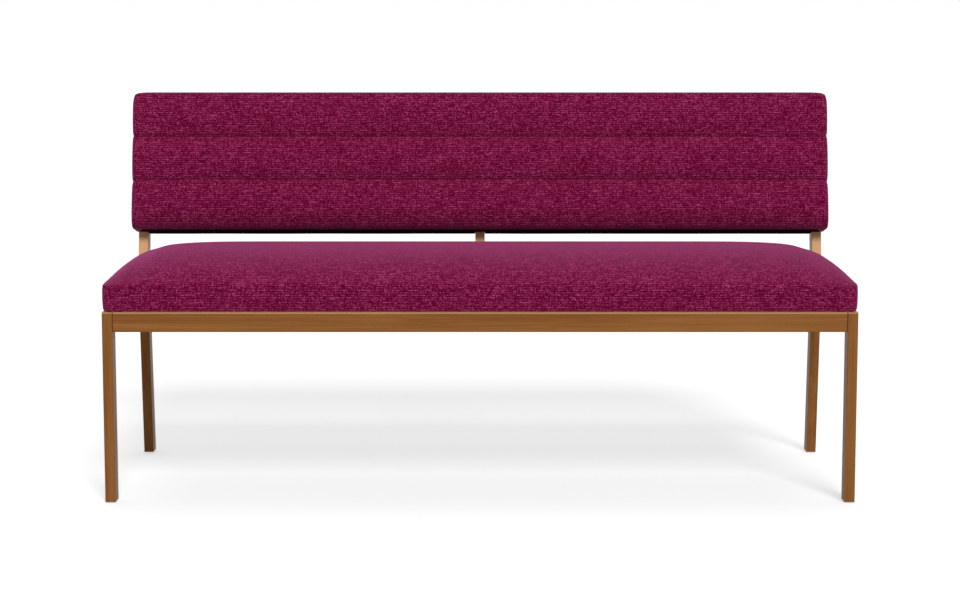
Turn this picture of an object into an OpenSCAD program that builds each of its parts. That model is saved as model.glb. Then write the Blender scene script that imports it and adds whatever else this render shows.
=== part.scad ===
// Upholstered banquette bench: a slim timber frame, a crowned seat cushion and a
// reclined backrest sewn in three channels.
// X runs along the bench, Y from front to rear and Z up. The origin is on the floor,
// under the middle of the bench's box.

/* [Frame] */
// Width over the outer faces of the legs
frame_w = 1524; // [1200:4:1800]
// Front face of the front legs to the front face of the rear legs at their bend
bend_y = 497; // [430:1:580]
// Height of the top of the rails above the floor
rail_top = 391; // [340:1:460]
// Height of the bend in the rear legs above the rails
bend_rise = 6; // [2:1:20]
// How far the rear feet stand behind the bend
rake = 44; // [0:1:80]
// Lean of the posts and the backrest from upright, in degrees
recline = 12; // [4:0.5:18]
// Width of a leg or post, seen from the front
leg_w = 21; // [19:0.5:30]
// Depth of a leg or post from front to rear
leg_d = 40; // [36:0.5:54]
// Thickness of a rail or a cross stretcher
rail_t = 21; // [19:0.5:28]
// Height of a rail or a cross stretcher
rail_h = 40; // [38:0.5:56]
// Radius of the eased long edges of the timbers
ease_r = 1.2; // [0.5:0.1:2]
// Middle of the bench to the middle of each cross stretcher
stretcher_x = 254; // [150:2:400]

/* [Joinery] */
// Diameter of every dowel
dowel_d = 6; // [5:0.5:7]
// Length of a rail dowel, half of it in each timber
dowel_l = 30; // [24:1:34]
// Diameter of a screw's shank
screw_d = 4; // [3:0.5:5]
// Diameter of a screw's head
screw_head_d = 8; // [7:0.5:9]
// Height of a screw's head
screw_head_h = 2.5; // [1.5:0.5:3]
// Length of the screws that hold rails, posts and the back panel
frame_screw_l = 30; // [26:1:32]
// How far a corner block reaches along each rail
block_reach = 60; // [54:1:80]
// Height of a corner block
block_h = 22; // [20:1:26]
// Depth of the batten under the seat's rear edge
batten_d = 25; // [20:1:32]
// Height of the batten under the seat's rear edge
batten_h = 18; // [15:0.5:18]

/* [Glides] */
// Diameter of a glide's disc
glide_d = 16; // [12:0.5:18]
// Thickness of a glide's disc
glide_h = 2; // [1.5:0.5:4]
// Diameter of a glide's nail
glide_nail_d = 2.4; // [2:0.2:3]
// Length of a glide's nail
glide_nail_l = 14; // [10:1:18]

/* [Seat] */
// Thickness of the seat's plywood deck
deck_t = 15; // [12:1:20]
// Height of the cushion's upright sides above the rails
seat_wall_h = 54; // [40:0.5:70]
// Rise of the cushion's crown above its upright sides
seat_crown = 58.5; // [30:0.5:70]
// How far the cushion's fullest sides stand past the frame's outer faces
seat_overhang = 2; // [0:0.5:6]
// How far the cushion's sides are drawn in at their foot
seat_draw = 1.5; // [0.5:0.1:4]
// Radius of the cushion's upright corners
seat_corner_r = 18; // [10:1:30]
// Gap between the cushion and the posts behind it
seat_gap = 3; // [1:0.5:12]
// Width of the hem that is turned under the seat's deck
seat_hem = 25; // [20:1:32]

/* [Backrest] */
// How far the backrest reaches past the outer faces of the legs
back_overhang = 9; // [7:0.5:14]
// Bend to the backrest's underside, along the posts
back_foot = 112; // [90:1:140]
// Height of the backrest, along the posts
back_h = 305.5; // [260:0.5:380]
// Face of the posts to the fullest point of the padding in front of them
back_pad = 65; // [50:1:80]
// Depth of the two seams that divide the channels
seam_depth = 5; // [3:0.5:8]
// Radius of the backrest's padded edges
back_edge_r = 12; // [10:0.5:14]
// Thickness of the backrest's plywood panel
back_panel_t = 12; // [9:1:15]
// Thickness of the padding round the backrest's sides and top
back_edge_pad = 6; // [5:0.5:8]
// Height of the rails between the posts inside the backrest
back_rail_h = 30; // [24:1:40]
// Width of the hem that is turned behind the backrest
back_hem = 25; // [18:1:32]
// Width of the hem that is turned under the backrest
back_foot_hem = 10; // [6:1:16]
// Thickness of the board that closes the backrest's rear
rear_board_t = 3; // [2:0.5:5]
// How far the rear board's edge stands in from the backrest's outline
rear_board_inset = 6; // [5:0.5:14]

/* [Fabric and staples] */
// Thickness of the woven cover
cover_t = 1.5; // [1:0.1:2]
// Gap between the cover and what it wraps
cover_gap = 0.35; // [0.3:0.05:0.5]
// Width of a staple's crown
staple_w = 10; // [8:1:13]
// Length of a staple's legs
staple_l = 8; // [6:1:9]
// Thickness of a staple's wire
staple_wire = 0.7; // [0.5:0.1:1]
// Greatest spacing of the staples
staple_pitch = 85; // [60:5:120]

/* [Hidden] */
// Spare radius of dowels, screws and nails in their holes, and spare depth at an end
hole_gap = 0.1;
hole_end = 0.5;
// Reach of every cut past the surface that it opens
over = 1;
$fn = 32;

wood = "#85572f";
pine = "#c9a878";
ply = "#c8ab7d";
foam_colour = "#e9dfb8";
fabric = "#6f143b";
black_cloth = "#1d1c1e";
steel = "#a9abad";
nylon = "#3a3835";

half_w = frame_w / 2;
leg_x = half_w - leg_w / 2;
inner_x = half_w - leg_w;
bend_z = rail_top + bend_rise;
rail_z = rail_top - rail_h;
rake_angle = atan(rake / (bend_z - glide_h));
// Front face of a rear leg below its bend, at height z
function rake_y(z) = bend_y + rake * (bend_z - z) / (bend_z - glide_h);
rear_rail_y = rake_y(rail_z);
post_d = leg_d * cos(recline);

seat_z = rail_top + seat_wall_h;
seat_half_x = half_w + seat_overhang;
seat_half_y = (bend_y - seat_gap + seat_overhang) / 2;
seat_mid_y = seat_half_y - seat_overhang;
deck_z = rail_top + cover_t;
lining = cover_t + cover_gap;

back_half_x = half_w + back_overhang;
back_top = back_foot + back_h;
core_foot = back_foot + lining;
core_top = back_top - cover_t - back_edge_pad;
rear_cover_y = post_d + cover_t;
rear_y = rear_cover_y + rear_board_t + hole_gap + cover_t;
rear_inset = rear_board_inset - cover_t - hole_gap;
rear_most = bend_y + rear_y * cos(recline) + (back_top - rear_inset) * sin(recline);
origin_y = (rear_most - seat_overhang) / 2;

// Places along the height of a rail, as shares of it from the top
cross_dowel_shares = [0.2, 0.6];
side_dowel_shares = [0.4, 0.8];
stretcher_dowel_shares = [0.59, 0.85];
post_screw_shares = [0.3, 0.7];
back_dowel_shares = [0.3, 0.7];
// Place of a corner block's screws along its legs, as a share of its reach
block_screw_share = 0.62;
// Places along the height of the backrest, as shares of it from below
seam_shares = [0.35, 0.692];
panel_screw_shares = [0.16, 0.46, 0.76];
// Rows of points across one channel, as shares of its height
channel_shares = [0, 0.04, 0.14, 0.5, 0.86, 0.96];
// How much of a seam's depth a channel loses at the backrest's own edge
outer_edge_share = 0.3;
// How square a channel's bulge is
channel_square = 4;

// Placing

module on_floor() translate([0, -origin_y, 0]) children();

// The backrest's own frame: z along the posts from the bend, y to the rear from their faces
module on_posts() translate([0, bend_y, bend_z]) rotate([-recline, 0, 0]) children();

module both_sides() for (side = [-1, 1]) scale_side(side) children();

module scale_side(side) mirror([side < 0 ? 1 : 0, 0, 0]) children();

// Timbers

// Section of a timber centred on x, its long edges eased by flats; y starts at 0
function eased(w, d, squash = 1) = [
    for (corner = [[1, 0, -90], [1, 1, 0], [-1, 1, 90], [-1, 0, 180]]) for (step = [0:3])
        let (a = corner[2] + 30 * step)
            [corner[0] * (w / 2 - ease_r) + ease_r * cos(a),
             (corner[1] * (d - 2 * ease_r) + ease_r + ease_r * sin(a)) * squash]
];

module upright(w, d, h) linear_extrude(h) polygon(eased(w, d));

// A timber along X, of thickness t in Y from y = 0 and height h below z = 0
module beam_x(l, t, h) translate([-l / 2, t, -h / 2]) rotate([90, 0, 90])
    linear_extrude(l) translate([-t, 0]) rotate(-90) polygon(eased(h, t));

// A timber along Y from y = 0, of thickness t centred on x and height h below z = 0
module beam_y(l, t, h) translate([0, l, -h]) rotate([90, 0, 0])
    linear_extrude(l) polygon(eased(t, h));

// The stretch between two heights of an endless leg that leans by a degrees at the bend
module leaning(a, low, high) intersection() {
    translate([0, bend_y, bend_z]) rotate([a, 0, 0])
        translate([0, 0, -bend_z - leg_d]) linear_extrude(2 * (bend_z + leg_d))
            polygon(eased(leg_w, leg_d, cos(a)));
    translate([-leg_w, 0, low]) cube([2 * leg_w, 2 * (bend_y + rake), high - low]);
}

// A bent leg or post from height low up to post_l past the bend
module bent_leg(low, post_l) {
    leaning(rake_angle, low, bend_z);
    intersection() {
        on_posts() translate([0, 0, -leg_d]) linear_extrude(leg_d + post_l)
            polygon(eased(leg_w, leg_d, cos(recline)));
        translate([-leg_w, 0, bend_z]) cube([2 * leg_w, 2 * bend_y, 2 * back_top]);
    }
}

// Dowels and screws

module pin(d, l) translate([0, 0, -l / 2]) cylinder(d = d, h = l);
module dowel() pin(dowel_d, dowel_l);
module dowel_hole() pin(dowel_d + 2 * hole_gap, dowel_l + 2 * hole_end);

// Each joint of the frame, with z across the joint
module at_frame_joints() both_sides() {
    for (share = cross_dowel_shares) for (y = [rail_t / 2, rear_rail_y + rail_t / 2])
        translate([inner_x, y, rail_top - share * rail_h]) rotate([0, 90, 0]) children();
    for (share = side_dowel_shares) let (z = rail_top - share * rail_h) for (y = [leg_d, rake_y(z)])
        translate([leg_x, y, z]) rotate([90, 0, 0]) children();
}

module at_stretcher_joints() both_sides() for (share = stretcher_dowel_shares)
    for (y = [rail_t, rear_rail_y])
        translate([stretcher_x, y, rail_top - share * rail_h]) rotate([90, 0, 0]) children();

// A screw with its head's seat at z = 0 and its point at z = l
module screw(l) difference() {
    union() {
        translate([0, 0, -screw_head_h]) cylinder(d = screw_head_d, h = screw_head_h);
        cylinder(d = screw_d, h = l - screw_d);
        translate([0, 0, l - screw_d]) cylinder(d1 = screw_d, d2 = screw_d / 4, h = screw_d);
    }
    translate([0, 0, -screw_head_h - over])
        cylinder(d = screw_head_d / 2, h = over + screw_head_h / 2, $fn = 6);
}

// The hole for a screw, with a counterbore of depth bore above its head's seat
module screw_hole(l, bore) {
    cylinder(d = screw_d + 2 * hole_gap, h = l + hole_end);
    translate([0, 0, -bore]) cylinder(d = screw_head_d + 2 * hole_gap, h = bore);
}

// Seat screws come up through the front corner blocks and the stretchers into the deck
seat_screw_l = block_h + cover_t + deck_t - 2 * over;
seat_screw_inset = block_reach / 4;

module at_seat_screws() both_sides() {
    translate([inner_x - seat_screw_inset, rail_t + seat_screw_inset, rail_top - block_h]) children();
    for (y = [rail_t + 2 * block_reach, rear_rail_y - 2 * block_reach])
        translate([stretcher_x, y, rail_top - block_h]) children();
}

// Each corner of the frame, seen from inside it: x to the side rail and y to the cross rail
module front_corner() translate([inner_x, rail_t, rail_top]) mirror([1, 0, 0]) children();
module rear_corner() translate([inner_x, rear_rail_y, rail_top]) rotate(180) children();

block_tip = block_reach / 6;
block_screw_at = block_reach * block_screw_share;
block_screw_seat = block_reach / 4;

// Head seats of the two screws in one corner block, with z towards the rail
module at_block_screws() {
    translate([block_screw_seat, block_screw_at, -block_h / 2]) rotate([0, -90, 0]) children();
    translate([block_screw_at, block_screw_seat, -block_h / 2]) rotate([90, 0, 0]) children();
}

module at_all_block_screws() both_sides() {
    front_corner() at_block_screws() children();
    rear_corner() at_block_screws() children();
}

module corner_block() difference() {
    translate([0, 0, -block_h]) linear_extrude(block_h) polygon([
        [0, 0], [block_reach, 0], [block_reach, block_tip],
        [block_tip, block_reach], [0, block_reach],
    ]);
    at_block_screws() screw_hole(frame_screw_l, block_reach);
}

module front_block(side) color(pine) on_floor() difference() {
    scale_side(side) front_corner() corner_block();
    at_seat_screws() screw_hole(seat_screw_l, over);
}

module rear_block(side) color(pine) on_floor() scale_side(side) rear_corner() corner_block();

// The heads of the centre post's screws sit in bores this far behind the rear rail
post_screw_seat = leg_d / 4;

module at_post_screws() for (share = post_screw_shares)
    translate([0, rear_rail_y + rail_t + post_screw_seat, rail_top - share * rail_h])
        rotate([90, 0, 0]) children();

module at_panel_screws() for (x = [-leg_x, 0, leg_x]) for (share = panel_screw_shares)
    translate([x, screw_head_h - back_panel_t, back_foot + share * back_h])
        rotate([-90, 0, 0]) children();

// Joints inside the backrest: rails to outer posts, and the centre post up into the top rail
module at_back_joints() both_sides() for (z = [core_foot, core_top - back_rail_h])
    for (share = back_dowel_shares)
        translate([inner_x, post_d / 2, z + share * back_rail_h]) rotate([0, 90, 0]) children();

module at_post_top() translate([0, post_d / 2, core_top - back_rail_h]) children();

// The two dowels that go right through the centre post into both bottom rails
module through_dowels(gap, end) for (share = back_dowel_shares)
    translate([0, post_d / 2, core_foot + share * back_rail_h]) rotate([0, 90, 0])
        pin(dowel_d + 2 * gap, dowel_l + leg_w + 2 * end);

module back_holes() {
    at_back_joints() dowel_hole();
    at_post_top() dowel_hole();
    through_dowels(hole_gap, hole_end);
    at_panel_screws() screw_hole(frame_screw_l, over);
}

// Frame pieces

module at_glides() both_sides() for (y = [leg_d / 2, rake_y(glide_h) + leg_d / 2])
    translate([leg_x, y, 0]) children();

module glide_holes() at_glides()
    cylinder(d = glide_nail_d + 2 * hole_gap, h = glide_h + glide_nail_l + hole_end);

module front_leg(side) color(wood) on_floor() difference() {
    translate([side * leg_x, 0, glide_h]) upright(leg_w, leg_d, rail_top - glide_h);
    at_frame_joints() dowel_hole();
    glide_holes();
}

module rear_leg(side) color(wood) on_floor() difference() {
    translate([side * leg_x, 0, 0]) bent_leg(glide_h, core_top);
    at_frame_joints() dowel_hole();
    on_posts() back_holes();
    glide_holes();
}

module front_leg_left() front_leg(-1);
module front_leg_right() front_leg(1);
module rear_leg_left() rear_leg(-1);
module rear_leg_right() rear_leg(1);

// The centre post stands on the rear rail and laps down behind it
module centre_post() color(wood) on_floor() difference() {
    bent_leg(rail_z, core_top - back_rail_h);
    translate([-leg_w, 0, 0]) cube([2 * leg_w, rear_rail_y + rail_t, rail_top]);
    at_post_screws() screw_hole(frame_screw_l, leg_d);
    on_posts() back_holes();
}

module front_rail() color(wood) on_floor() difference() {
    translate([0, 0, rail_top]) beam_x(2 * inner_x, rail_t, rail_h);
    at_frame_joints() dowel_hole();
    at_stretcher_joints() dowel_hole();
    at_all_block_screws() screw_hole(frame_screw_l, 0);
}

module rear_rail() color(wood) on_floor() difference() {
    translate([0, rear_rail_y, rail_top]) beam_x(2 * inner_x, rail_t, rail_h);
    at_frame_joints() dowel_hole();
    at_stretcher_joints() dowel_hole();
    at_all_block_screws() screw_hole(frame_screw_l, 0);
    at_post_screws() screw_hole(frame_screw_l, 0);
}

// A side rail is flush with the legs' inner faces and ends on the slope of the rear leg's front
module side_rail(side) color(wood) on_floor() difference() {
    x = side * (inner_x + rail_t / 2);
    translate([x, leg_d, rail_top]) beam_y(rear_rail_y - leg_d, rail_t, rail_h);
    translate([x - rail_t, bend_y, bend_z]) rotate([rake_angle, 0, 0])
        translate([0, 0, -2 * rail_h]) cube([2 * rail_t, leg_d, 4 * rail_h]);
    at_frame_joints() dowel_hole();
    at_all_block_screws() screw_hole(frame_screw_l, 0);
}

module side_rail_left() side_rail(-1);
module side_rail_right() side_rail(1);

module cross_stretcher(side) color(pine) on_floor() difference() {
    translate([side * stretcher_x, rail_t, rail_top]) beam_y(rear_rail_y - rail_t, rail_t, rail_h);
    translate([-half_w, rear_rail_y - batten_d, rail_top - batten_h])
        cube([frame_w, batten_d + over, batten_h + over]);
    at_stretcher_joints() dowel_hole();
    at_seat_screws() screw_hole(seat_screw_l, rail_h);
}

module cross_stretcher_left() cross_stretcher(-1);
module cross_stretcher_right() cross_stretcher(1);

// The batten lies in the notches of the stretchers, between the rear corner blocks
module rear_batten() color(pine) on_floor() translate([0, rear_rail_y - batten_d, rail_top])
    beam_x(2 * (inner_x - block_reach), batten_d, batten_h);

module corner_block_front_left() front_block(-1);
module corner_block_front_right() front_block(1);
module corner_block_rear_left() rear_block(-1);
module corner_block_rear_right() rear_block(1);

module frame_dowels() color(pine) on_floor() at_frame_joints() dowel();
module stretcher_dowels() color(pine) on_floor() at_stretcher_joints() dowel();
module corner_block_screws() color(steel) on_floor() at_all_block_screws() screw(frame_screw_l);
module seat_screws() color(steel) on_floor() at_seat_screws() screw(seat_screw_l);
module centre_post_screws() color(steel) on_floor() at_post_screws() screw(frame_screw_l);

module glides() color(nylon) on_floor() at_glides() {
    cylinder(d = glide_d, h = glide_h);
    cylinder(d = glide_nail_d, h = glide_h + glide_nail_l);
}

// Padded forms
// A form is a grid of points over its face, whose edge runs on as rings down the sides

// Spreads even steps from -1 to 1 so that they crowd towards both ends
function crowd(s, power) = sign(s) * (1 - pow(1 - abs(s), power));
function steps(n, power) = [for (i = [0:n]) crowd(2 * i / n - 1, power)];

// Grid places round the edge of a face of nx by ny cells
function edge_places(nx, ny) = concat(
    [for (i = [0:nx - 1]) [i, 0]], [for (j = [0:ny - 1]) [nx, j]],
    [for (i = [nx:-1:1]) [i, ny]], [for (j = [ny:-1:1]) [0, j]]
);

function form_points(nx, ny, rings, at) = concat(
    [for (j = [0:ny]) for (i = [0:nx]) at(i, j, 0)],
    [for (ring = [1:rings]) for (c = edge_places(nx, ny)) at(c[0], c[1], ring)]
);

function two(a, b, c, d) = [[a, b, c], [a, c, d]];

function form_faces(nx, ny, rings) = let (
    wide = nx + 1, edge = edge_places(nx, ny), n = len(edge), face = wide * (ny + 1),
    at = function(ring, e) let (c = edge[e % n])
        ring == 0 ? c[1] * wide + c[0] : face + (ring - 1) * n + e % n
) concat(
    [for (j = [0:ny - 1]) for (i = [0:nx - 1]) let (a = j * wide + i)
        each two(a, a + wide, a + wide + 1, a + 1)],
    [for (ring = [0:rings - 1]) for (e = [0:n - 1])
        each two(at(ring, e), at(ring, e + 1), at(ring + 1, e + 1), at(ring + 1, e))]
);

function turned(faces, first) = [for (f = faces) [f[2] + first, f[1] + first, f[0] + first]];

// A skin between an outer and an inner form, open at its last ring
module skin(nx, ny, rings, outer, inner) {
    n = 2 * (nx + ny);
    out = form_points(nx, ny, rings, outer);
    count = len(out);
    last = count - n;
    faces = form_faces(nx, ny, rings);
    polyhedron(
        points = concat(out, form_points(nx, ny, rings, inner)),
        faces = concat(faces, turned(faces, count), [for (e = [0:n - 1]) let (f = (e + 1) % n)
            each two(last + e, last + f, count + last + f, count + last + e)])
    );
}

// A closed pad, whose last ring is filled in by a flat foot round the point middle
module pad(nx, ny, rings, outer, middle) {
    n = 2 * (nx + ny);
    points = form_points(nx, ny, rings, outer);
    count = len(points);
    polyhedron(
        points = concat(points, [middle]),
        faces = concat(form_faces(nx, ny, rings),
            [for (e = [0:n - 1]) [count - n + e, count - n + (e + 1) % n, count]])
    );
}

// Seat

seat_nx = 18;
seat_ny = 14;
// How much the points crowd towards the cushion's edges
seat_crowd_x = 2.6;
seat_crowd_y = 2.4;
seat_u = steps(seat_nx, seat_crowd_x);
seat_v = steps(seat_ny, seat_crowd_y);
// How square the crown is across the bench and from front to rear, and how full
seat_square_x = 14;
seat_square_y = 3.1;
seat_full = 0.82;
// Height at which the sides are fullest and heights of the rings, as shares of the sides
seat_full_share = 0.59;
seat_ring_shares = [1, seat_full_share, seat_full_share / 2, 0, 0];

// Place on the seat's plan of the shares u and v of half sizes a and b, with round corners
function seat_plan(u, v, a, b) = let (cut = seat_corner_r * (1 - sqrt(0.5))) [
    (a - cut * pow(abs(v), 2 * b / seat_corner_r)) * u,
    (b - cut * pow(abs(u), 2 * a / seat_corner_r)) * v + seat_mid_y
];

function seat_rise(u, v) = seat_crown
    * pow((1 - pow(abs(u), seat_square_x)) * (1 - pow(abs(v), seat_square_y)), seat_full);

// How far the sides stand in from their fullest at height z
function seat_in(z) = seat_draw * pow(1 - (z - rail_top) / seat_wall_h / seat_full_share, 2);

// A point of the seat's form inset by t, whose sides end at height foot and turn in to a hem
function seat_at(i, j, ring, t, foot, hem = 0) = let (
    u = seat_u[i], v = seat_v[j],
    z = foot + (seat_z - t - foot) * seat_ring_shares[ring],
    inset = t + seat_in(z) + (ring == 4 ? hem : 0)
) concat(
    seat_plan(u, v, seat_half_x - inset, seat_half_y - inset),
    [z + (ring == 0 ? seat_rise(u, v) : 0)]
);

// The seat's outline at its foot, inset by t
function seat_foot(t) = [for (c = edge_places(seat_nx, seat_ny))
    seat_plan(seat_u[c[0]], seat_v[c[1]], seat_half_x - seat_draw - t, seat_half_y - seat_draw - t)];

module seat_deck() color(ply) on_floor() difference() {
    translate([0, 0, deck_z]) linear_extrude(deck_t) polygon(seat_foot(lining));
    at_seat_screws() screw_hole(seat_screw_l, 0);
}

module seat_foam() color(foam_colour) on_floor() pad(
    seat_nx, seat_ny, 3,
    function(i, j, ring) seat_at(i, j, ring, lining, deck_z + deck_t),
    [0, seat_mid_y, deck_z + deck_t]
);

module seat_cover() color(fabric) on_floor() skin(
    seat_nx, seat_ny, 4,
    function(i, j, ring) seat_at(i, j, ring, 0, rail_top, seat_hem),
    function(i, j, ring) seat_at(i, j, ring, cover_t, deck_z, seat_hem - cover_t)
);

module seat_dust_cover() color(black_cloth) on_floor() difference() {
    translate([0, 0, rail_top]) linear_extrude(cover_t) polygon(seat_foot(seat_hem + cover_gap));
    at_seat_screws() screw_hole(seat_screw_l, 0);
}

// A staple along x, its crown's underside at z = 0 and its legs up
module staple() translate([-staple_w / 2, staple_wire / 2, 0]) rotate([90, 0, 0])
    linear_extrude(staple_wire) difference() {
        square([staple_w, staple_wire + staple_l]);
        translate([staple_wire, staple_wire]) square([staple_w - 2 * staple_wire, staple_l + over]);
    }

// Even places along a line of length l, no further apart than the staples' pitch
function stapled(l) = let (n = ceil(l / staple_pitch)) [for (i = [0:n - 1]) l * ((i + 0.5) / n - 0.5)];

// Staples along both ends of a rectangle of half sizes a and b, and along the given long sides
module staple_ring(a, b, sides) {
    for (side = sides) for (x = stapled(2 * a)) translate([x, side * b, 0]) staple();
    for (x = [-a, a]) for (y = stapled(2 * b)) translate([x, y, 0]) rotate(90) staple();
}

module seat_staples() color(steel) on_floor()
    translate([0, seat_mid_y, rail_top + (cover_t - staple_wire) / 2])
        staple_ring(seat_half_x - seat_draw - seat_hem / 2, seat_half_y - seat_draw - seat_hem / 2, [-1, 1]);

// Backrest

back_nx = 10;
back_crowd = 3;
back_u = steps(back_nx, back_crowd);
// Heights of the channels' edges and of every row of points, along the posts
seam_z = [for (share = concat([0], seam_shares, [1]))
    back_foot + back_edge_r + share * (back_h - 2 * back_edge_r)];
back_rows = concat(
    [for (k = [0:2]) for (share = channel_shares) [k, share]], [[2, 1]]
);
back_ny = len(back_rows) - 1;

function row_z(row) = seam_z[row[0]] + row[1] * (seam_z[row[0] + 1] - seam_z[row[0]]);

// How far a row bulges, from 0 in a seam to 1 at the middle of a channel
function row_bulge(row) = let (
    off = 2 * row[1] - 1,
    open = (row[0] == 0 && off < 0) || (row[0] == 2 && off > 0)
) 1 - (open ? outer_edge_share : 1) * pow(off, channel_square);

function row_face(row) = seam_depth * (1 - row_bulge(row)) - back_pad;

// A point of the backrest's form, inset by t: rings 1 and 2 turn round the padded edge
function back_at(i, j, ring, t) = let (
    row = back_rows[j], r = back_edge_r - t,
    a = min(ring, 2) * 45,
    flat_x = back_half_x - back_edge_r,
    at_end = i == 0 || i == back_nx, at_edge = j == 0 || j == back_ny,
    turn = at_end && at_edge ? sqrt(0.5) : 1,
    out = ring == 0 ? 0 : r * sin(a) * turn,
    back = row_face(row) + t + r * (1 - cos(a))
) [
    back_u[i] * flat_x + (at_end ? sign(back_u[i]) * out : 0),
    back,
    row_z(row) + (at_edge ? (j == 0 ? -out : out) : 0)
];

// Outline of the backrest's cover, seen from the front and inset by t
function back_outline(t) = [for (c = edge_places(back_nx, back_ny))
    let (p = back_at(c[0], c[1], 2, t)) [p[0], p[2]]];

// Extrudes an outline given in x and z from depth y0 to depth y1
module slab(y0, y1) translate([0, y1, 0]) rotate([90, 0, 0]) linear_extrude(y1 - y0) children();

// Outline of what the edge padding wraps, its lower corners cut off
module core_outline() polygon([
    [-half_w, core_foot + back_edge_r], [-half_w, core_top], [half_w, core_top],
    [half_w, core_foot + back_edge_r], [half_w - back_edge_r, core_foot],
    [back_edge_r - half_w, core_foot],
]);

// Section of one foam channel across the bench, as points in y and z
function channel_section(k) = let (
    low = k == 0 ? core_foot : seam_z[k] + cover_gap,
    high = k == 2 ? core_top : seam_z[k + 1] - cover_gap,
    rows = [for (row = back_rows) if (row[0] == k && row[1] > 0) row]
) concat(
    [[-back_panel_t, low]],
    k == 0 ? [[back_at(1, 0, 2, lining)[1], low],
              [back_at(1, 0, 1, lining)[1], back_at(1, 0, 1, lining)[2]],
              [back_at(1, 0, 0, lining)[1], seam_z[0]]]
           : [[row_face([k, 0]) + lining, low]],
    [for (row = rows) if (row[1] < 1) [row_face(row) + lining, row_z(row)]],
    k == 2 ? [[row_face([2, 1]) + lining, seam_z[3]],
              [row_face([2, 1]) + lining + back_edge_r - cover_t, core_top]]
           : [[row_face([k, 1]) + lining, high]],
    [[-back_panel_t, high]]
);

module back_foam(k) color(foam_colour) on_floor() on_posts() intersection() {
    translate([-half_w, 0, 0]) rotate([90, 0, 90]) linear_extrude(frame_w) polygon(channel_section(k));
    slab(-back_pad, 0) core_outline();
    linear_extrude(2 * back_top) polygon([
        [-half_w, 0], [-half_w, 2 * back_edge_r - back_pad], [2 * back_edge_r - half_w, -back_pad],
        [half_w - 2 * back_edge_r, -back_pad], [half_w, 2 * back_edge_r - back_pad], [half_w, 0],
    ]);
}

module back_foam_bottom() back_foam(0);
module back_foam_middle() back_foam(1);
module back_foam_top() back_foam(2);

module back_panel() color(ply) on_floor() on_posts() difference() {
    slab(-back_panel_t, 0) core_outline();
    at_panel_screws() screw_hole(frame_screw_l, screw_head_h + over);
}

// A strip round both sides and the top, from the foam's edge to the posts' rear faces
module back_edge_padding() color(foam_colour) on_floor() on_posts()
    slab(2 * back_edge_r + seam_depth - back_pad, post_d - cover_gap) difference() {
        polygon(back_outline(lining));
        translate([-half_w, 0]) square([frame_w, core_top]);
    }

module back_rail(l) translate([0, 0, back_rail_h]) beam_x(l, post_d, back_rail_h);

module back_top_rail() color(pine) on_floor() on_posts() difference() {
    translate([0, 0, core_top - back_rail_h]) back_rail(2 * inner_x);
    back_holes();
}

module back_bottom_rail(side) color(pine) on_floor() on_posts() difference() {
    translate([side * (inner_x + leg_w / 2) / 2, 0, core_foot]) back_rail(inner_x - leg_w / 2);
    back_holes();
}

module back_bottom_rail_left() back_bottom_rail(-1);
module back_bottom_rail_right() back_bottom_rail(1);

module back_dowels() color(pine) on_floor() on_posts() {
    at_back_joints() dowel();
    at_post_top() dowel();
    through_dowels(0, 0);
}

module back_panel_screws() color(steel) on_floor() on_posts() at_panel_screws() screw(frame_screw_l);

// Where the cover's lower hem ends, behind its turned front edge
back_foot_y = row_face(back_rows[0]) + back_edge_r + back_foot_hem;

// The cover's hem lies behind the posts. At the foot it is turned under and ends in front of
// them, or beside them at a corner, and it is narrow just above so that it clears them.
function back_cover_at(i, j, ring, t, hem_y) = let (
    p = back_at(i, j, ring, t),
    at_end = i == 0 || i == back_nx,
    hem = ring == 3 ? 0 : (j < 2 ? 2 * cover_t : back_hem) - t
) ring < 3 ? p
    : j == 0 ? [p[0], (at_end ? post_d / 4 : back_foot_y) - (ring == 3 ? back_foot_hem / 2 : 0), p[2]]
    : [p[0] + (i == 0 ? hem : i == back_nx ? -hem : 0), hem_y, p[2] - (j == back_ny ? hem : 0)];

module back_cover() color(fabric) on_floor() on_posts() skin(
    back_nx, back_ny, 4,
    function(i, j, ring) back_cover_at(i, j, ring, 0, post_d + cover_t),
    function(i, j, ring) back_cover_at(i, j, ring, cover_t, post_d)
);

// Closes the underside, from the cover's hem to the rear and round the centre post
module back_bottom_cloth() color(black_cloth) on_floor() on_posts()
    translate([0, 0, core_foot - cover_t]) linear_extrude(cover_t) difference() {
        polygon([
            for (side = [-1, 1]) for (p = side < 0 ? [[inner_x - cover_gap, post_d],
                [inner_x - cover_gap, -cover_gap], [half_w - cover_t, -cover_gap],
                [half_w - back_edge_r, back_foot_y + cover_gap]]
                : [[half_w - back_edge_r, back_foot_y + cover_gap], [half_w - cover_t, -cover_gap],
                [inner_x - cover_gap, -cover_gap], [inner_x - cover_gap, post_d]])
                [side * p[0], p[1]]
        ]);
        translate([-leg_w / 2 - cover_gap, -cover_gap]) square([leg_w + 2 * cover_gap, post_d + over]);
    }

module back_staples() color(steel) on_floor() on_posts()
    translate([0, post_d + (cover_t + staple_wire) / 2, (core_foot + core_top) / 2]) rotate([90, 0, 0])
        staple_ring(back_half_x - back_hem + staple_wire, back_h / 2 - back_hem + staple_wire, [1]);

module rear_board_outline(inset) translate([inset - back_half_x, back_foot + inset])
    square([2 * (back_half_x - inset), back_h - 2 * inset]);

module rear_board() color(ply) on_floor() on_posts()
    slab(rear_cover_y, rear_cover_y + rear_board_t) rear_board_outline(rear_board_inset);

module rear_board_cover() color(fabric) on_floor() on_posts() difference() {
    slab(rear_cover_y, rear_y) rear_board_outline(rear_inset);
    slab(rear_cover_y - over, rear_cover_y + rear_board_t + hole_gap)
        rear_board_outline(rear_board_inset - hole_gap);
}

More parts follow.
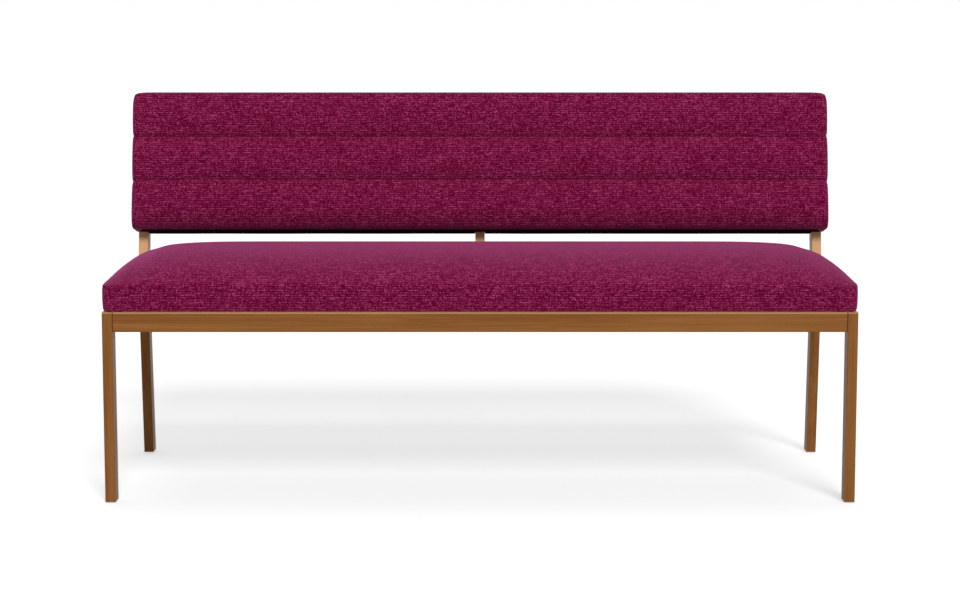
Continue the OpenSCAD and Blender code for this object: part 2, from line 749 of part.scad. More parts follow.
front_leg_left();
front_leg_right();
rear_leg_left();
rear_leg_right();
centre_post();
front_rail();
rear_rail();
side_rail_left();
side_rail_right();
cross_stretcher_left();
cross_stretcher_right();
rear_batten();
corner_block_front_left();
corner_block_front_right();
corner_block_rear_left();
corner_block_rear_right();
frame_dowels();
stretcher_dowels();
corner_block_screws();
seat_screws();
centre_post_screws();
glides();
seat_deck();
seat_foam();
seat_cover();
seat_dust_cover();
seat_staples();
back_panel();
back_foam_bottom();
back_foam_middle();
back_foam_top();
back_edge_padding();
back_top_rail();
back_bottom_rail_left();
back_bottom_rail_right();
back_dowels();
back_panel_screws();
back_cover();
back_bottom_cloth();
back_staples();
rear_board();
rear_board_cover();
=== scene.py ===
# %% [markdown]
# # An upholstered banquette bench
# The bench has a slim timber frame, a crowned seat cushion and a backrest sewn in three
# channels. Its joinery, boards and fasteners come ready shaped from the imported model, which
# stays where it is. What is made here is the upholstery, the finish of every surface, and a
# plain studio.

# %% Load the frame
import math
import bpy
import numpy as np
from mathutils import Euler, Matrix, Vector, noise


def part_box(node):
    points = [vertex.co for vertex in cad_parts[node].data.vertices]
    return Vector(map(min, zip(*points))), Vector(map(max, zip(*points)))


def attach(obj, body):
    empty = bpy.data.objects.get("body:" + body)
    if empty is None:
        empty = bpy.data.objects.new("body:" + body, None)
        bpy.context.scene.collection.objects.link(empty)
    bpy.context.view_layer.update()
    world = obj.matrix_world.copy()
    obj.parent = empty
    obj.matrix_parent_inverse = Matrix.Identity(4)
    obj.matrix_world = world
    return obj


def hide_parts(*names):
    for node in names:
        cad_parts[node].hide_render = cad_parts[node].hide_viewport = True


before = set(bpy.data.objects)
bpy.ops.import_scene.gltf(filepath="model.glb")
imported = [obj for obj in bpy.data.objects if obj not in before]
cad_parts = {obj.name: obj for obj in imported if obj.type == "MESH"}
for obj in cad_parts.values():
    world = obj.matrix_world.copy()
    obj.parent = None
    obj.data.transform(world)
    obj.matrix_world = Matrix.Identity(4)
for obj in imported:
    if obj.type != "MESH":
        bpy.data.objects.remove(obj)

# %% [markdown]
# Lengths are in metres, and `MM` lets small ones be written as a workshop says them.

MM = 0.001
FULL_TURN = 2 * math.pi


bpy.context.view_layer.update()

# %% [markdown]
# ## The camera
# The photograph was taken from straight in front, a little above the backrest, with a long
# lens: both pairs of legs run to the floor almost upright, and the seat's top is just seen.
# The eye, the tilt and the lens were found by laying the model's corners over the photograph.

# %% Place the camera
EYE = Vector((0.0, -4.843, 0.977))
LOOKING_DOWN = math.radians(7.13)
LENS = 85.12
SENSOR_WIDTH = 36.0

camera = bpy.data.objects.new("camera", bpy.data.cameras.new("camera"))
camera.data.lens = LENS
camera.data.sensor_width = SENSOR_WIDTH
camera.location = EYE
camera.rotation_euler = Euler((math.pi / 2 - LOOKING_DOWN, 0, 0))
bpy.context.scene.collection.objects.link(camera)
bpy.context.scene.camera = camera
print("camera at", tuple(EYE), "with a lens of", LENS, "mm")

# %% [markdown]
# ## Shader maths
# A finish is a small program that Blender keeps as a net of nodes. Written out node by node it
# is hard to read, so two small classes let it be written as sums: a `Wire` is one socket that
# can be added, multiplied and compared, and a `Finish` makes every other node with one method.

# %% Wires that can be used in sums


def pick(sockets, key):
    """The socket with that number, identifier or name."""
    if isinstance(key, int):
        return sockets[key]
    return next((socket for socket in sockets if socket.identifier == key), None) or sockets[key]


class Wire:
    def __init__(self, finish, socket):
        self.finish = finish
        self.socket = socket

    def maths(self, operation, *others):
        return self.finish.maths(operation, self, *others)

    def __add__(self, other):
        return self.maths("ADD", other)

    def __sub__(self, other):
        return self.maths("SUBTRACT", other)

    def __rsub__(self, other):
        return self.finish.maths("SUBTRACT", other, self)

    def __mul__(self, other):
        return self.maths("MULTIPLY", other)

    def __truediv__(self, other):
        return self.maths("DIVIDE", other)

    def __pow__(self, other):
        return self.maths("POWER", other)

    __radd__ = __add__
    __rmul__ = __mul__


print("a wire takes + - * / and **, and each sum on wires adds one Math node")

# %% [markdown]
# Colours can't go through a Math node, which would turn them grey, so they have a Mix node of
# their own. Noise is what most finishes are made of, so it has two methods: one on a vector,
# and one on places in metres with a size of blot for each. The last step of a finish is a
# Principled shader, with a Bump node if the surface has a relief.

# %% Finishes made of nodes


class Made:
    def __init__(self, finish, node):
        self.finish = finish
        self.node = node

    def __getitem__(self, key):
        return Wire(self.finish, pick(self.node.outputs, key))


class Finish:
    """The nodes of a new material, or of a new world."""

    def __init__(self, name, library="materials"):
        self.block = getattr(bpy.data, library).new(name)
        self.block.use_nodes = True
        self.tree = self.block.node_tree
        self.tree.nodes.clear()

    def node(self, kind, settings=None, inputs=None):
        made = self.tree.nodes.new(kind)
        for name, value in (settings or {}).items():
            if name == "stops":
                while len(made.color_ramp.elements) < len(value):
                    made.color_ramp.elements.new(1.0)
                for element, (place, colour) in zip(made.color_ramp.elements, value):
                    element.position = place
                    element.color = colour
            else:
                setattr(made, name, value)
        for key, value in (inputs or {}).items():
            socket = pick(made.inputs, key)
            if isinstance(value, Wire):
                self.tree.links.new(value.socket, socket)
            else:
                socket.default_value = value
        return Made(self, made)

    def maths(self, operation, *values):
        return self.node("ShaderNodeMath", {"operation": operation}, dict(enumerate(values)))[0]

    def vector(self, x=0.0, y=0.0, z=0.0):
        return self.node("ShaderNodeCombineXYZ", {}, {"X": x, "Y": y, "Z": z})["Vector"]

    def object_place(self):
        """Place in the object as a vector, in metres."""
        return self.node("ShaderNodeTexCoord")["Object"]

    def split(self, vector):
        parts = self.node("ShaderNodeSeparateXYZ", {}, {"Vector": vector})
        return parts["X"], parts["Y"], parts["Z"]

    def mottle(self, vector, detail=2.0, roughness=0.5):
        """Soft noise from 0 to 1, with blots about one unit of the vector across."""
        inputs = {"Vector": vector, "Scale": 1.0, "Detail": detail, "Roughness": roughness}
        return self.node("ShaderNodeTexNoise", {"noise_dimensions": "3D"}, inputs)["Fac"]

    def blots(self, places, sizes, detail=2.0, roughness=0.5):
        """The same noise over places in metres, with a size of blot along each of them."""
        scaled = [place / size for place, size in zip(places, sizes)]
        return self.mottle(self.vector(*scaled), detail, roughness)

    def between(self, value, low, high):
        """Where value stands between low and high, from 0 to 1 and smooth at both ends."""
        settings = {"interpolation_type": "SMOOTHSTEP"}
        inputs = {"Value": value, "From Min": low, "From Max": high}
        return self.node("ShaderNodeMapRange", settings, inputs)["Result"]

    def mix(self, share, first, second):
        inputs = {"Factor_Float": share, "A_Color": first, "B_Color": second}
        return self.node("ShaderNodeMix", {"data_type": "RGBA"}, inputs)["Result_Color"]

    def surface(self, relief=None, depth=0.0, **values):
        """Ends the finish; relief is a height from 0 to 1, and depth what 1 stands for."""
        inputs = {name.replace("_", " "): value for name, value in values.items()}
        if relief is not None:
            bump = {"Height": relief, "Distance": depth, "Strength": 1.0}
            inputs["Normal"] = self.node("ShaderNodeBump", {}, bump)["Normal"]
        shader = self.node("ShaderNodeBsdfPrincipled", {}, inputs)
        self.node("ShaderNodeOutputMaterial", {}, {"Surface": shader["BSDF"]})
        return self.block


def weighed(noises, weights):
    """A tone about 0.5: the sum of named noises, each counted from its middle by its weight."""
    tone = 0.5
    for name, weight in weights.items():
        tone = tone + (noises[name] - 0.5) * weight
    return tone


def paint(red, green, blue):
    """A colour read off a screen, from 0 to 255, as the linear values that nodes take."""
    shares = [value / 255 for value in (red, green, blue)]
    return (*[s / 12.92 if s < 0.04 else ((s + 0.055) / 1.055) ** 2.4 for s in shares], 1.0)


print("a middle grey of 128 on a screen is", round(paint(128, 128, 128)[0], 3), "to a node")

# %% [markdown]
# ## The studio
# The floor and the air round the bench are white in the photograph, with only a soft shadow
# under the seat. Light strong enough to make a white floor white would also bleach the bench.
# So the lamps stay at a plain level, and what the camera or a glossy surface sees directly of
# the floor and the air is lightened on its own, through the Light Path node.

# %% Light the studio
AIR_LIGHT = 0.14
WHITE = (1.0, 1.0, 1.0, 1.0)
SOFTBOXES = {
    "key_softbox": {"strength": 2.2, "softness": 20, "height": 39, "turn": 13},
    "fill_softbox": {"strength": 0.35, "softness": 50, "height": 12, "turn": -6},
    "top_softbox": {"strength": 0.9, "softness": 50, "height": 70, "turn": 180},
}


def seen_directly(finish):
    """1 for camera, glossy and transmission rays, and 0 for the light that bounces about."""
    rays = finish.node("ShaderNodeLightPath")
    seen = rays["Is Camera Ray"].maths("MAXIMUM", rays["Is Glossy Ray"])
    return seen.maths("MAXIMUM", rays["Is Transmission Ray"])


def light_the_air():
    air = Finish("studio_air", "worlds")
    strength = air.maths("MAXIMUM", seen_directly(air), AIR_LIGHT)
    glow = air.node("ShaderNodeBackground", {}, {"Color": WHITE, "Strength": strength})
    air.node("ShaderNodeOutputWorld", {}, {"Surface": glow["Background"]})
    bpy.context.scene.world = air.block


def softbox(name, strength, softness, height, turn):
    """A distant soft lamp, height degrees up and turned by turn degrees from the front."""
    lamp = bpy.data.objects.new(name, bpy.data.lights.new(name, "SUN"))
    lamp.data.energy = strength
    lamp.data.angle = math.radians(softness)
    lamp.rotation_euler = Euler((math.radians(90 - height), 0, math.radians(turn)))
    bpy.context.scene.collection.objects.link(lamp)


light_the_air()
for name, settings in SOFTBOXES.items():
    softbox(name, **settings)
bpy.context.scene.view_settings.view_transform = "Standard"

# %% [markdown]
# The floor is a wide sheet of white paper. Part of what the camera sees of it is a steady
# glow, and the rest is lit as paper is, so that the bench's shadow shows, softly.

# %% Lay the floor
FLOOR_REACH = 30.0
FLOOR_WHITE = 0.5
FLOOR_GRAIN = 0.01
FLOOR_GLOW = 1.45
FLOOR_GLOW_SHARE = 0.4


def grey(level):
    return (level, level, level, 1.0)


def paper():
    finish = Finish("white_paper")
    grain = finish.mottle(finish.object_place())
    white = finish.mix(grain, grey(FLOOR_WHITE), grey(FLOOR_WHITE + FLOOR_GRAIN))
    lit = finish.node("ShaderNodeBsdfDiffuse", {}, {"Color": white})["BSDF"]
    bright = finish.node("ShaderNodeBsdfDiffuse", {}, {"Color": WHITE})["BSDF"]
    glow = finish.node("ShaderNodeEmission", {}, {"Strength": FLOOR_GLOW})["Emission"]
    shown = finish.node("ShaderNodeMixShader", {}, {0: FLOOR_GLOW_SHARE, 1: bright, 2: glow})[0]
    both = finish.node("ShaderNodeMixShader", {}, {0: seen_directly(finish), 1: lit, 2: shown})[0]
    finish.node("ShaderNodeOutputMaterial", {}, {"Surface": both})
    return finish.block


corners = [(x, y, 0.0) for x, y in ((-1, -1), (1, -1), (1, 1), (-1, 1))]
sheet = bpy.data.meshes.new("studio_floor")
sheet.from_pydata([Vector(c) * FLOOR_REACH for c in corners], [], [(0, 1, 2, 3)])
sheet.materials.append(paper())
floor = bpy.data.objects.new("studio_floor", sheet)
bpy.context.scene.collection.objects.link(floor)
print("floor laid,", 2 * FLOOR_REACH, "m square")

# %% [markdown]
# ## The woven cover
# The cover is a thick chenille weave in magenta. Soft, hairy weft yarns lie side by side
# across the bench, and each changes from deep maroon to pale pink along its length, so the
# cloth looks streaked from near by. The pattern is drawn in the cloth's own flat coordinates,
# which each piece of upholstery carries as a map named `cloth`, in metres. A weave drawn that
# way turns over edges with the cloth, as a real one does.
#
# Each noise stands for one thing that a weaver would name. The yarns waver a little. Streaks
# and slubs run along a yarn and change from one yarn to the next. The warp shows as fine
# upright marks, fuzz covers all, and a slow cloud keeps wide stretches from looking alike.

# %% Weave the cover cloth
YARN = 2.5 * MM
YARN_RELIEF = 0.5 * MM
YARN_SQUARENESS = 0.7
YARN_GAP = 0.55
STITCH = 4.2 * MM
STITCH_DIP = 0.28
STREAK = 14 * MM
STREAK_STEP = 3.7
SLUB = 3 * MM
SLUB_STEP = 5.3
SLUB_LAYER = 4.0
WAVER = 3.5 * MM
WAVER_BLOTS = (13 * MM, 30 * MM)
WARP_BLOTS = (1.7 * MM, 25 * MM)
CLOUD_BLOTS = (90 * MM, 70 * MM)
FUZZ_BLOTS = (0.6 * MM, 0.4 * MM)
COVER_TONE = {"streak": 1.0, "slub": 2.1, "warp": 0.4, "cloud": 0.15, "fuzz": 0.5}
STITCH_TONE = 0.05
PAIR_TONE = 0.12
CLOTH_DEEP = paint(84, 0, 36)
CLOTH_MIDDLE = paint(119, 12, 60)
CLOTH_PALE = paint(176, 68, 116)
CLOTH_STOPS = [(0.16, CLOTH_DEEP), (0.52, CLOTH_MIDDLE), (0.95, CLOTH_PALE)]


def cloth_place(finish):
    """Place in the flat cloth: along the weft, and across it."""
    along, across, _ = finish.split(finish.node("ShaderNodeUVMap", {"uv_map": "cloth"})["UV"])
    return along, across


def woven(name):
    finish = Finish(name)
    along, across = cloth_place(finish)
    waver = finish.blots((along, across), WAVER_BLOTS, 1) * WAVER
    place = (across + waver) / YARN
    yarn = place.maths("FLOOR")
    round_yarn = ((place - yarn) * math.pi).maths("SINE")
    over_under = ((along / STITCH + yarn * 0.5) * FULL_TURN).maths("SINE")
    pairs = (place * math.pi).maths("SINE")
    noises = {
        "streak": finish.mottle(finish.vector(along / STREAK, yarn * STREAK_STEP), 1),
        "slub": finish.mottle(finish.vector(along / SLUB, yarn * SLUB_STEP, SLUB_LAYER), 2, 0.6),
        "warp": finish.blots((along, across), WARP_BLOTS, 1),
        "cloud": finish.blots((along, across), CLOUD_BLOTS),
        "fuzz": finish.blots((along, across), FUZZ_BLOTS),
    }
    tone = weighed(noises, COVER_TONE) + over_under * STITCH_TONE + pairs * PAIR_TONE
    colour = finish.node("ShaderNodeValToRGB", {"stops": CLOTH_STOPS}, {"Fac": tone})["Color"]
    colour = finish.mix(1 - finish.between(round_yarn, 0.0, YARN_GAP), colour, CLOTH_DEEP)
    yarns = round_yarn ** YARN_SQUARENESS * (1 - STITCH_DIP + STITCH_DIP * over_under)
    relief = yarns * 0.6 + noises["slub"] * 0.3 + noises["fuzz"] * 0.1
    return finish.surface(
        relief, YARN_RELIEF, Base_Color=colour, Roughness=0.95, Specular_IOR_Level=0.02,
        Sheen_Weight=0.6, Sheen_Roughness=0.45, Sheen_Tint=(1.0, 0.25, 0.63, 1.0),
    )


cover_cloth = woven("woven_cover")
print("cover cloth: yarns", round(YARN / MM, 1), "mm apart, streaks of about", STREAK / MM, "mm")

# %% [markdown]
# ## The timbers
# The frame is a walnut-brown hardwood with a satin lacquer. Its figure is quiet: long faint
# streaks along the grain, short darker pores, and a slow change of tone. All three are noise
# that is stretched along the timber, so each run of timbers needs its own finish.
#
# Four masks change the tone. Edges are lighter, partly from real wear and partly as a painted
# highlight, and the very top of the rails has a painted highlight. A thin painted shadow line
# darkens a rail where it butts against a leg, and a painted highlight makes the posts paler over the
# seat.

# %% Mark the timber's wear, painted highlights and painted shadow line
EDGE_WEAR_AND_HIGHLIGHT = 1.5 * MM
EDGE_STARTS, EDGE_FULL = 0.995, 0.9
TOP_HIGHLIGHT_STARTS, TOP_HIGHLIGHT_FULL = 3.2 * MM, 1.4 * MM
BUTT_STARTS, BUTT_FULL = 2.4 * MM, 1.2 * MM
PALE_STARTS, PALE_FULL = -40 * MM, 60 * MM
RAIL_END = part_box("front_rail")[1].x
RAIL_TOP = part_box("front_rail")[1].z


# Edges are lighter: partly real wear of the lacquer, partly a painted highlight where light catches
# them.
def edges_worn_and_highlit(finish):
    """1 along the edges of a timber, where a bevelled normal turns from the plain one."""
    rounded = finish.node("ShaderNodeBevel", {"samples": 6}, {"Radius": EDGE_WEAR_AND_HIGHLIGHT})["Normal"]
    plain_normal = finish.node("ShaderNodeNewGeometry")["Normal"]
    settings, inputs = {"operation": "DOT_PRODUCT"}, {0: rounded, 1: plain_normal}
    alike = finish.node("ShaderNodeVectorMath", settings, inputs)["Value"]
    return finish.between(alike, EDGE_STARTS, EDGE_FULL)


def highlighted_top(finish, height):
    """1 along the very top of the rails, where a painted highlight lightens them."""
    return finish.between(height, RAIL_TOP - TOP_HIGHLIGHT_STARTS, RAIL_TOP - TOP_HIGHLIGHT_FULL)


def highlight_above_seat(finish, height):
    """1 on the posts over the seat, which a painted highlight makes paler, and 0 below it."""
    return finish.between(height, RAIL_TOP + PALE_STARTS, RAIL_TOP + PALE_FULL)


def butt_shadow_line(finish, along):
    """1 in the thin painted shadow line where a rail butts against a leg."""
    return finish.between(along.maths("ABSOLUTE"), RAIL_END - BUTT_STARTS, RAIL_END - BUTT_FULL)


print("rails end", round(RAIL_END, 4), "m from the middle and top out at", round(RAIL_TOP, 4), "m")

# %% [markdown]
# One function makes every timber finish. It takes the axis along which the grain runs, three
# colours, a roughness, and the masks of painted highlight and painted shadow that the timber has.

# %% Finish the timbers
TIMBER_DARK = paint(122, 75, 33)
TIMBER_LIGHT = paint(156, 103, 53)
TIMBER_PORE = paint(90, 52, 22)
TIMBER_HIGHLIGHT = paint(226, 176, 128)
TIMBER_JOINT_SHADOW = paint(64, 26, 14)
PINE_DARK = paint(186, 146, 98)
PINE_LIGHT = paint(221, 188, 142)
PINE_PORE = paint(164, 118, 72)
BROWN = (TIMBER_DARK, TIMBER_LIGHT, TIMBER_PORE, 0.42)
PINE = (PINE_DARK, PINE_LIGHT, PINE_PORE, 0.6)
GRAIN_AXES = {"x": (0, 1, 2), "y": (1, 0, 2), "z": (2, 0, 1)}
WANDER = 6 * MM
WANDER_BLOTS = (250 * MM, 30 * MM, 30 * MM)
FIGURE_BLOTS = (160 * MM, 2.2 * MM, 2.2 * MM)
BROAD_BLOTS = (500 * MM, 14 * MM, 14 * MM)
PORE_BLOTS = (9 * MM, 0.5 * MM, 0.5 * MM)
TIMBER_TONE = {"figure": 1.1, "broad": 0.9}
TIMBER_RELIEF = 0.06 * MM
PORE_SHARE, WEAR_AND_HIGHLIGHT_SHARE, JOINT_SHADOW_SHARE = 0.45, 0.25, 0.8


def timber(name, grain, dark, light, pore, roughness, highlight_share=0.0, pale=None, seam=None):
    """pale(finish, height) tells where a painted highlight makes it paler, and seam(finish, along)
    where a painted shadow line makes it darker.
    """
    finish = Finish(name)
    place = finish.split(finish.object_place())
    along, side, up = [place[axis] for axis in GRAIN_AXES[grain]]
    wander = (finish.blots((along, side, up), WANDER_BLOTS) - 0.5) * WANDER
    curved = (along, side + wander, up + wander)
    noises = {
        "figure": finish.blots(curved, FIGURE_BLOTS, 4, 0.6),
        "broad": finish.blots(curved, BROAD_BLOTS),
    }
    pores = finish.between(finish.blots((along, side, up), PORE_BLOTS, 1), 0.60, 0.74)
    tone = weighed(noises, TIMBER_TONE)
    colour = finish.mix(finish.between(tone, 0.0, 1.0), dark, light)
    colour = finish.mix(pores * PORE_SHARE, colour, pore)
    # Lighter edges: partly wear, partly a painted highlight.
    colour = finish.mix(edges_worn_and_highlit(finish) * WEAR_AND_HIGHLIGHT_SHARE, colour, light)
    # Painted highlight: the very top of the rails and legs, or the posts over the seat, is lightened.
    if pale:
        colour = finish.mix(pale(finish, place[2]) * highlight_share, colour, TIMBER_HIGHLIGHT)
    # Painted shadow line where a rail butts against a leg.
    if seam:
        colour = finish.mix(seam(finish, along) * JOINT_SHADOW_SHARE, colour, TIMBER_JOINT_SHADOW)
    return finish.surface(
        noises["figure"] * 0.5 + (1 - pores) * 0.5, TIMBER_RELIEF, Base_Color=colour,
        Roughness=roughness + (noises["figure"] - 0.5) * 0.12 + pores * 0.1,
        Specular_IOR_Level=0.1,
    )


rail_timber = timber("rail_timber", "x", *BROWN, 0.6, highlighted_top, butt_shadow_line)
side_rail_timber = timber("side_rail_timber", "y", *BROWN, 0.6, highlighted_top)
leg_timber = timber("leg_timber", "z", *BROWN, 0.5, highlighted_top)
post_timber = timber("post_timber", "z", *BROWN, 0.9, highlight_above_seat)
inner_timber = {grain: timber("inner_timber_" + grain, grain, *PINE) for grain in "xy"}
print("timber finishes:", rail_timber.name, side_rail_timber.name, leg_timber.name,
      post_timber.name, [m.name for m in inner_timber.values()])

# %% [markdown]
# Plywood shows its grain on the face and its stacked veneers at the edge. Both come from the
# same place in the board: the layer number tells whether the grain runs along or across.

# %% Finish the boards
VENEER = 1.5 * MM
LAYER_STEP = 3.3
FACE_GRAIN = (200 * MM, 5 * MM)
END_GRAIN = (1.2 * MM, 1.2 * MM)
GLUE_STARTS, GLUE_FULL = 0.88, 0.97


def plywood(name, stack):
    """stack is the axis through the board's thickness."""
    finish = Finish(name)
    along, side, up = finish.split(finish.object_place())
    depth, other = (up, side) if stack == "z" else (side, up)
    layer = (depth / VENEER).maths("FLOOR")
    turned = (layer * 0.5).maths("FRACT") * 2

    def grain(sizes, detail, roughness):
        place = finish.vector(along / sizes[0], other / sizes[1], layer * LAYER_STEP)
        return finish.mottle(place, detail, roughness)

    figure = grain(FACE_GRAIN, 4, 0.6)
    glue = finish.between((depth / VENEER).maths("FRACT"), GLUE_STARTS, GLUE_FULL)
    colour = finish.mix(figure, PINE_DARK, PINE_LIGHT)
    colour = finish.mix(turned * grain(END_GRAIN, 2, 0.5) * 0.5, colour, PINE_PORE)
    colour = finish.mix(glue * 0.5, colour, PINE_PORE)
    return finish.surface(
        figure, 0.08 * MM, Base_Color=colour, Roughness=0.7, Specular_IOR_Level=0.3)


flat_board = plywood("plywood_flat", "z")
standing_board = plywood("plywood_standing", "y")
print("plywood finishes:", flat_board.name, standing_board.name)

# %% [markdown]
# What is left is small or hidden: open-cell foam, black dust cloth, zinc-plated steel and
# dark moulded nylon. Each still has a texture at its real scale.

# %% Finish the foam and the dust cloth
FOAM_CELL = 1.4 * MM
FOAM_BLOTS = (80 * MM,) * 3
DUST_FIBRES = (0.6 * MM,) * 2
DUST_DIMPLE = 2.4 * MM


def foam():
    finish = Finish("foam")
    place = finish.object_place()
    cells = finish.node(
        "ShaderNodeTexVoronoi", {}, {"Vector": place, "Scale": 1 / FOAM_CELL})["Distance"]
    slow = finish.blots(finish.split(place), FOAM_BLOTS)
    colour = finish.mix(slow, paint(226, 214, 172), paint(238, 230, 200))
    colour = finish.mix(finish.between(cells, 0.5, 0.1), colour, paint(190, 172, 120))
    return finish.surface(
        cells, 0.5 * MM, Base_Color=colour, Roughness=0.95, Specular_IOR_Level=0.1)


def dust_cloth():
    finish = Finish("dust_cloth")
    along, across = cloth_place(finish)
    fibres = finish.blots((along, across), DUST_FIBRES, 4, 0.7)
    rows, columns = [(p / DUST_DIMPLE * FULL_TURN).maths("SINE") for p in (along, across)]
    colour = finish.mix(fibres, paint(14, 12, 13), paint(36, 32, 34))
    return finish.surface(
        fibres * 0.5 + rows * columns * 0.25 + 0.25, 0.2 * MM,
        Base_Color=colour, Roughness=0.95, Specular_IOR_Level=0.0)


foam_finish = foam()
dust_finish = dust_cloth()
print("soft finishes:", foam_finish.name, dust_finish.name)

# %% Finish the steel and the nylon
BRUSHING = (0.3 * MM, 0.3 * MM, 2 * MM)
BLOOM = (5 * MM,) * 3
SCUFFS = (1.5 * MM, 6 * MM, 1.5 * MM)


def steel():
    finish = Finish("fastener_steel")
    place = finish.split(finish.object_place())
    brushed = finish.blots(place, BRUSHING, 3)
    bloom = finish.blots(place, BLOOM, 3)
    colour = finish.mix(bloom, paint(176, 176, 172), paint(208, 207, 200))
    return finish.surface(
        brushed, 0.03 * MM, Base_Color=colour, Metallic=1.0, Roughness=0.28 + bloom * 0.2)


def nylon():
    finish = Finish("glide_nylon")
    scuffs = finish.blots(finish.split(finish.object_place()), SCUFFS, 4, 0.7)
    colour = finish.mix(scuffs, paint(40, 38, 36), paint(74, 70, 66))
    return finish.surface(scuffs, 0.05 * MM, Base_Color=colour, Roughness=0.45 + scuffs * 0.25)


steel_finish = steel()
nylon_finish = nylon()
print("hard finishes:", steel_finish.name, nylon_finish.name)

# %% [markdown]
# The joiner's pieces keep their shapes and only take their finish. A dowel's grain runs along
# it, which is across the bench in the frame and the backrest.

# %% Dress the joiner's pieces
DRESSED = {
    rail_timber: ["front_rail", "rear_rail"],
    side_rail_timber: ["side_rail_left", "side_rail_right"],
    leg_timber: ["front_leg_left", "front_leg_right"],
    post_timber: ["rear_leg_left", "rear_leg_right", "centre_post"],
    inner_timber["x"]: [
        "rear_batten", "frame_dowels", "back_dowels", "back_top_rail",
        "back_bottom_rail_left", "back_bottom_rail_right",
        "corner_block_front_left", "corner_block_front_right",
        "corner_block_rear_left", "corner_block_rear_right",
    ],
    inner_timber["y"]: ["cross_stretcher_left", "cross_stretcher_right", "stretcher_dowels"],
    flat_board: ["seat_deck"],
    standing_board: ["back_panel", "rear_board"],
    steel_finish: [
        "corner_block_screws", "seat_screws", "centre_post_screws", "seat_staples",
        "back_panel_screws", "back_staples",
    ],
    nylon_finish: ["glides"],
}

for finish, names in DRESSED.items():
    for name in names:
        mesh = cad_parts[name].data
        mesh.materials.clear()
        mesh.materials.append(finish)
print("dressed", sum(len(names) for names in DRESSED.values()), "of the joiner's pieces")

# %% [markdown]
# ## How a cushion is drawn
# A cushion here is a grid of points over its face. From the grid's edge, rings of points run
# on down the sides and under to the hem, so the whole cover is one skin of four-sided faces
# that follow the cloth. A face needs more points where it turns than where it is flat, so they
# are spread evenly along its curve and then crowded a little towards its ends.

# %% Spread points along a curve
CURVE_STEPS = 20000


def crowded(count, crowding):
    """Shares from -1 to 1 in count steps, closer together towards both ends."""
    even = np.linspace(-1, 1, count + 1)
    return np.sign(even) * (1 - (1 - abs(even)) ** crowding)


def spread(count, half, height, crowding=1.0):
    """Shares from -1 to 1 of a half width, spaced along the curve height(shares).

    Also gives each point's place along the curve, from its middle.
    """
    fine = np.linspace(-1, 1, CURVE_STEPS + 1)
    pieces = np.hypot(np.diff(fine) * half, np.diff(height(fine)))
    along = np.concatenate([[0], np.cumsum(pieces)])
    places = (crowded(count, crowding) + 1) / 2 * along[-1]
    return np.interp(places, along, fine), places - along[-1] / 2


def smooth(value):
    """0 below 0, 1 above 1 and a smooth slope between."""
    value = np.clip(value, 0, 1)
    return value * value * (3 - 2 * value)


def fade(distance, held, length):
    """0 up to a distance of held, and 1 from length further on."""
    return smooth((distance - held) / length)


print("four crowded steps:", crowded(4, 1.5).round(2).tolist())

# %% [markdown]
# The skin also carries the `cloth` map. The face lies flat in it, and each of the four sides
# unfolds straight outwards. Two sides then meet at a corner as they do in a real cover, where
# one is folded over the other.

# %% Stitch a skin
OUTWARDS = ((0, -1), (1, 0), (0, 1), (-1, 0))


def edge_places(columns, rows):
    """Column and row of each point round a grid's edge, anticlockwise from its first."""
    across = [*range(columns), *[columns] * rows, *range(columns, 0, -1), *[0] * rows]
    up = [*[0] * columns, *range(rows), *[rows] * columns, *range(rows, 0, -1)]
    return np.array(across), np.array(up)


def skin_faces(columns, rows, rings):
    """The four-sided faces of a grid and its rings, and which side each ring face is on."""
    grid = np.arange((columns + 1) * (rows + 1)).reshape(rows + 1, columns + 1)
    face = np.stack([grid[:-1, :-1], grid[:-1, 1:], grid[1:, 1:], grid[1:, :-1]], -1)
    across, up = edge_places(columns, rows)
    count = len(across)
    loops = [grid[up, across]]
    loops += [grid.size + ring * count + np.arange(count) for ring in range(rings)]
    walls = [
        np.stack([above, below, np.roll(below, -1), np.roll(above, -1)], -1)
        for above, below in zip(loops, loops[1:])
    ]
    return face.reshape(-1, 4), walls, np.repeat([0, 1, 2, 3], [columns, rows, columns, rows])


def new_piece(name, points, faces, cloth_map, finish):
    """A smooth piece with a flat place in the cloth for each corner of each face."""
    mesh = bpy.data.meshes.new(name)
    mesh.from_pydata(points.tolist(), [], faces.tolist())
    layer = mesh.uv_layers.new(name="cloth")
    layer.data.foreach_set("uv", cloth_map.astype(np.float32).ravel())
    mesh.materials.append(finish)
    mesh.shade_smooth()
    piece = bpy.data.objects.new(name, mesh)
    bpy.context.scene.collection.objects.link(piece)
    return piece


def skin(name, face, rings, flat, finish):
    """A piece from a face of points (rows, columns, 3), rings round it, and the face's flat map."""
    rows, columns = face.shape[0] - 1, face.shape[1] - 1
    across, up = edge_places(columns, rows)
    tops, walls, side = skin_faces(columns, rows, len(rings))
    edge = [face[up, across], *rings]
    lengths = [np.linalg.norm(b - a, axis=1) for a, b in zip(edge, edge[1:])]
    fallen = np.cumsum([np.zeros(len(across)), *lengths], axis=0)
    edge_flat = flat[up, across]
    next_flat = np.roll(edge_flat, -1, 0)
    outwards = np.array(OUTWARDS)[side]
    maps = [flat.reshape(-1, 2)[tops]]
    for above, below in zip(fallen, fallen[1:]):
        maps.append(np.stack([
            edge_flat + outwards * above[:, None],
            edge_flat + outwards * below[:, None],
            next_flat + outwards * np.roll(below, -1)[:, None],
            next_flat + outwards * np.roll(above, -1)[:, None],
        ], 1))
    points = np.concatenate([face.reshape(-1, 3), *rings])
    return new_piece(name, points, np.concatenate([tops, *walls]), np.concatenate(maps), finish)


print("a grid of 3 by 2 cells has", len(edge_places(3, 2)[0]), "points round its edge")

# %% [markdown]
# A closed pad, such as a slab of foam, also needs its underside. That is a second grid whose
# edge lies on the last ring, and the two are welded together.

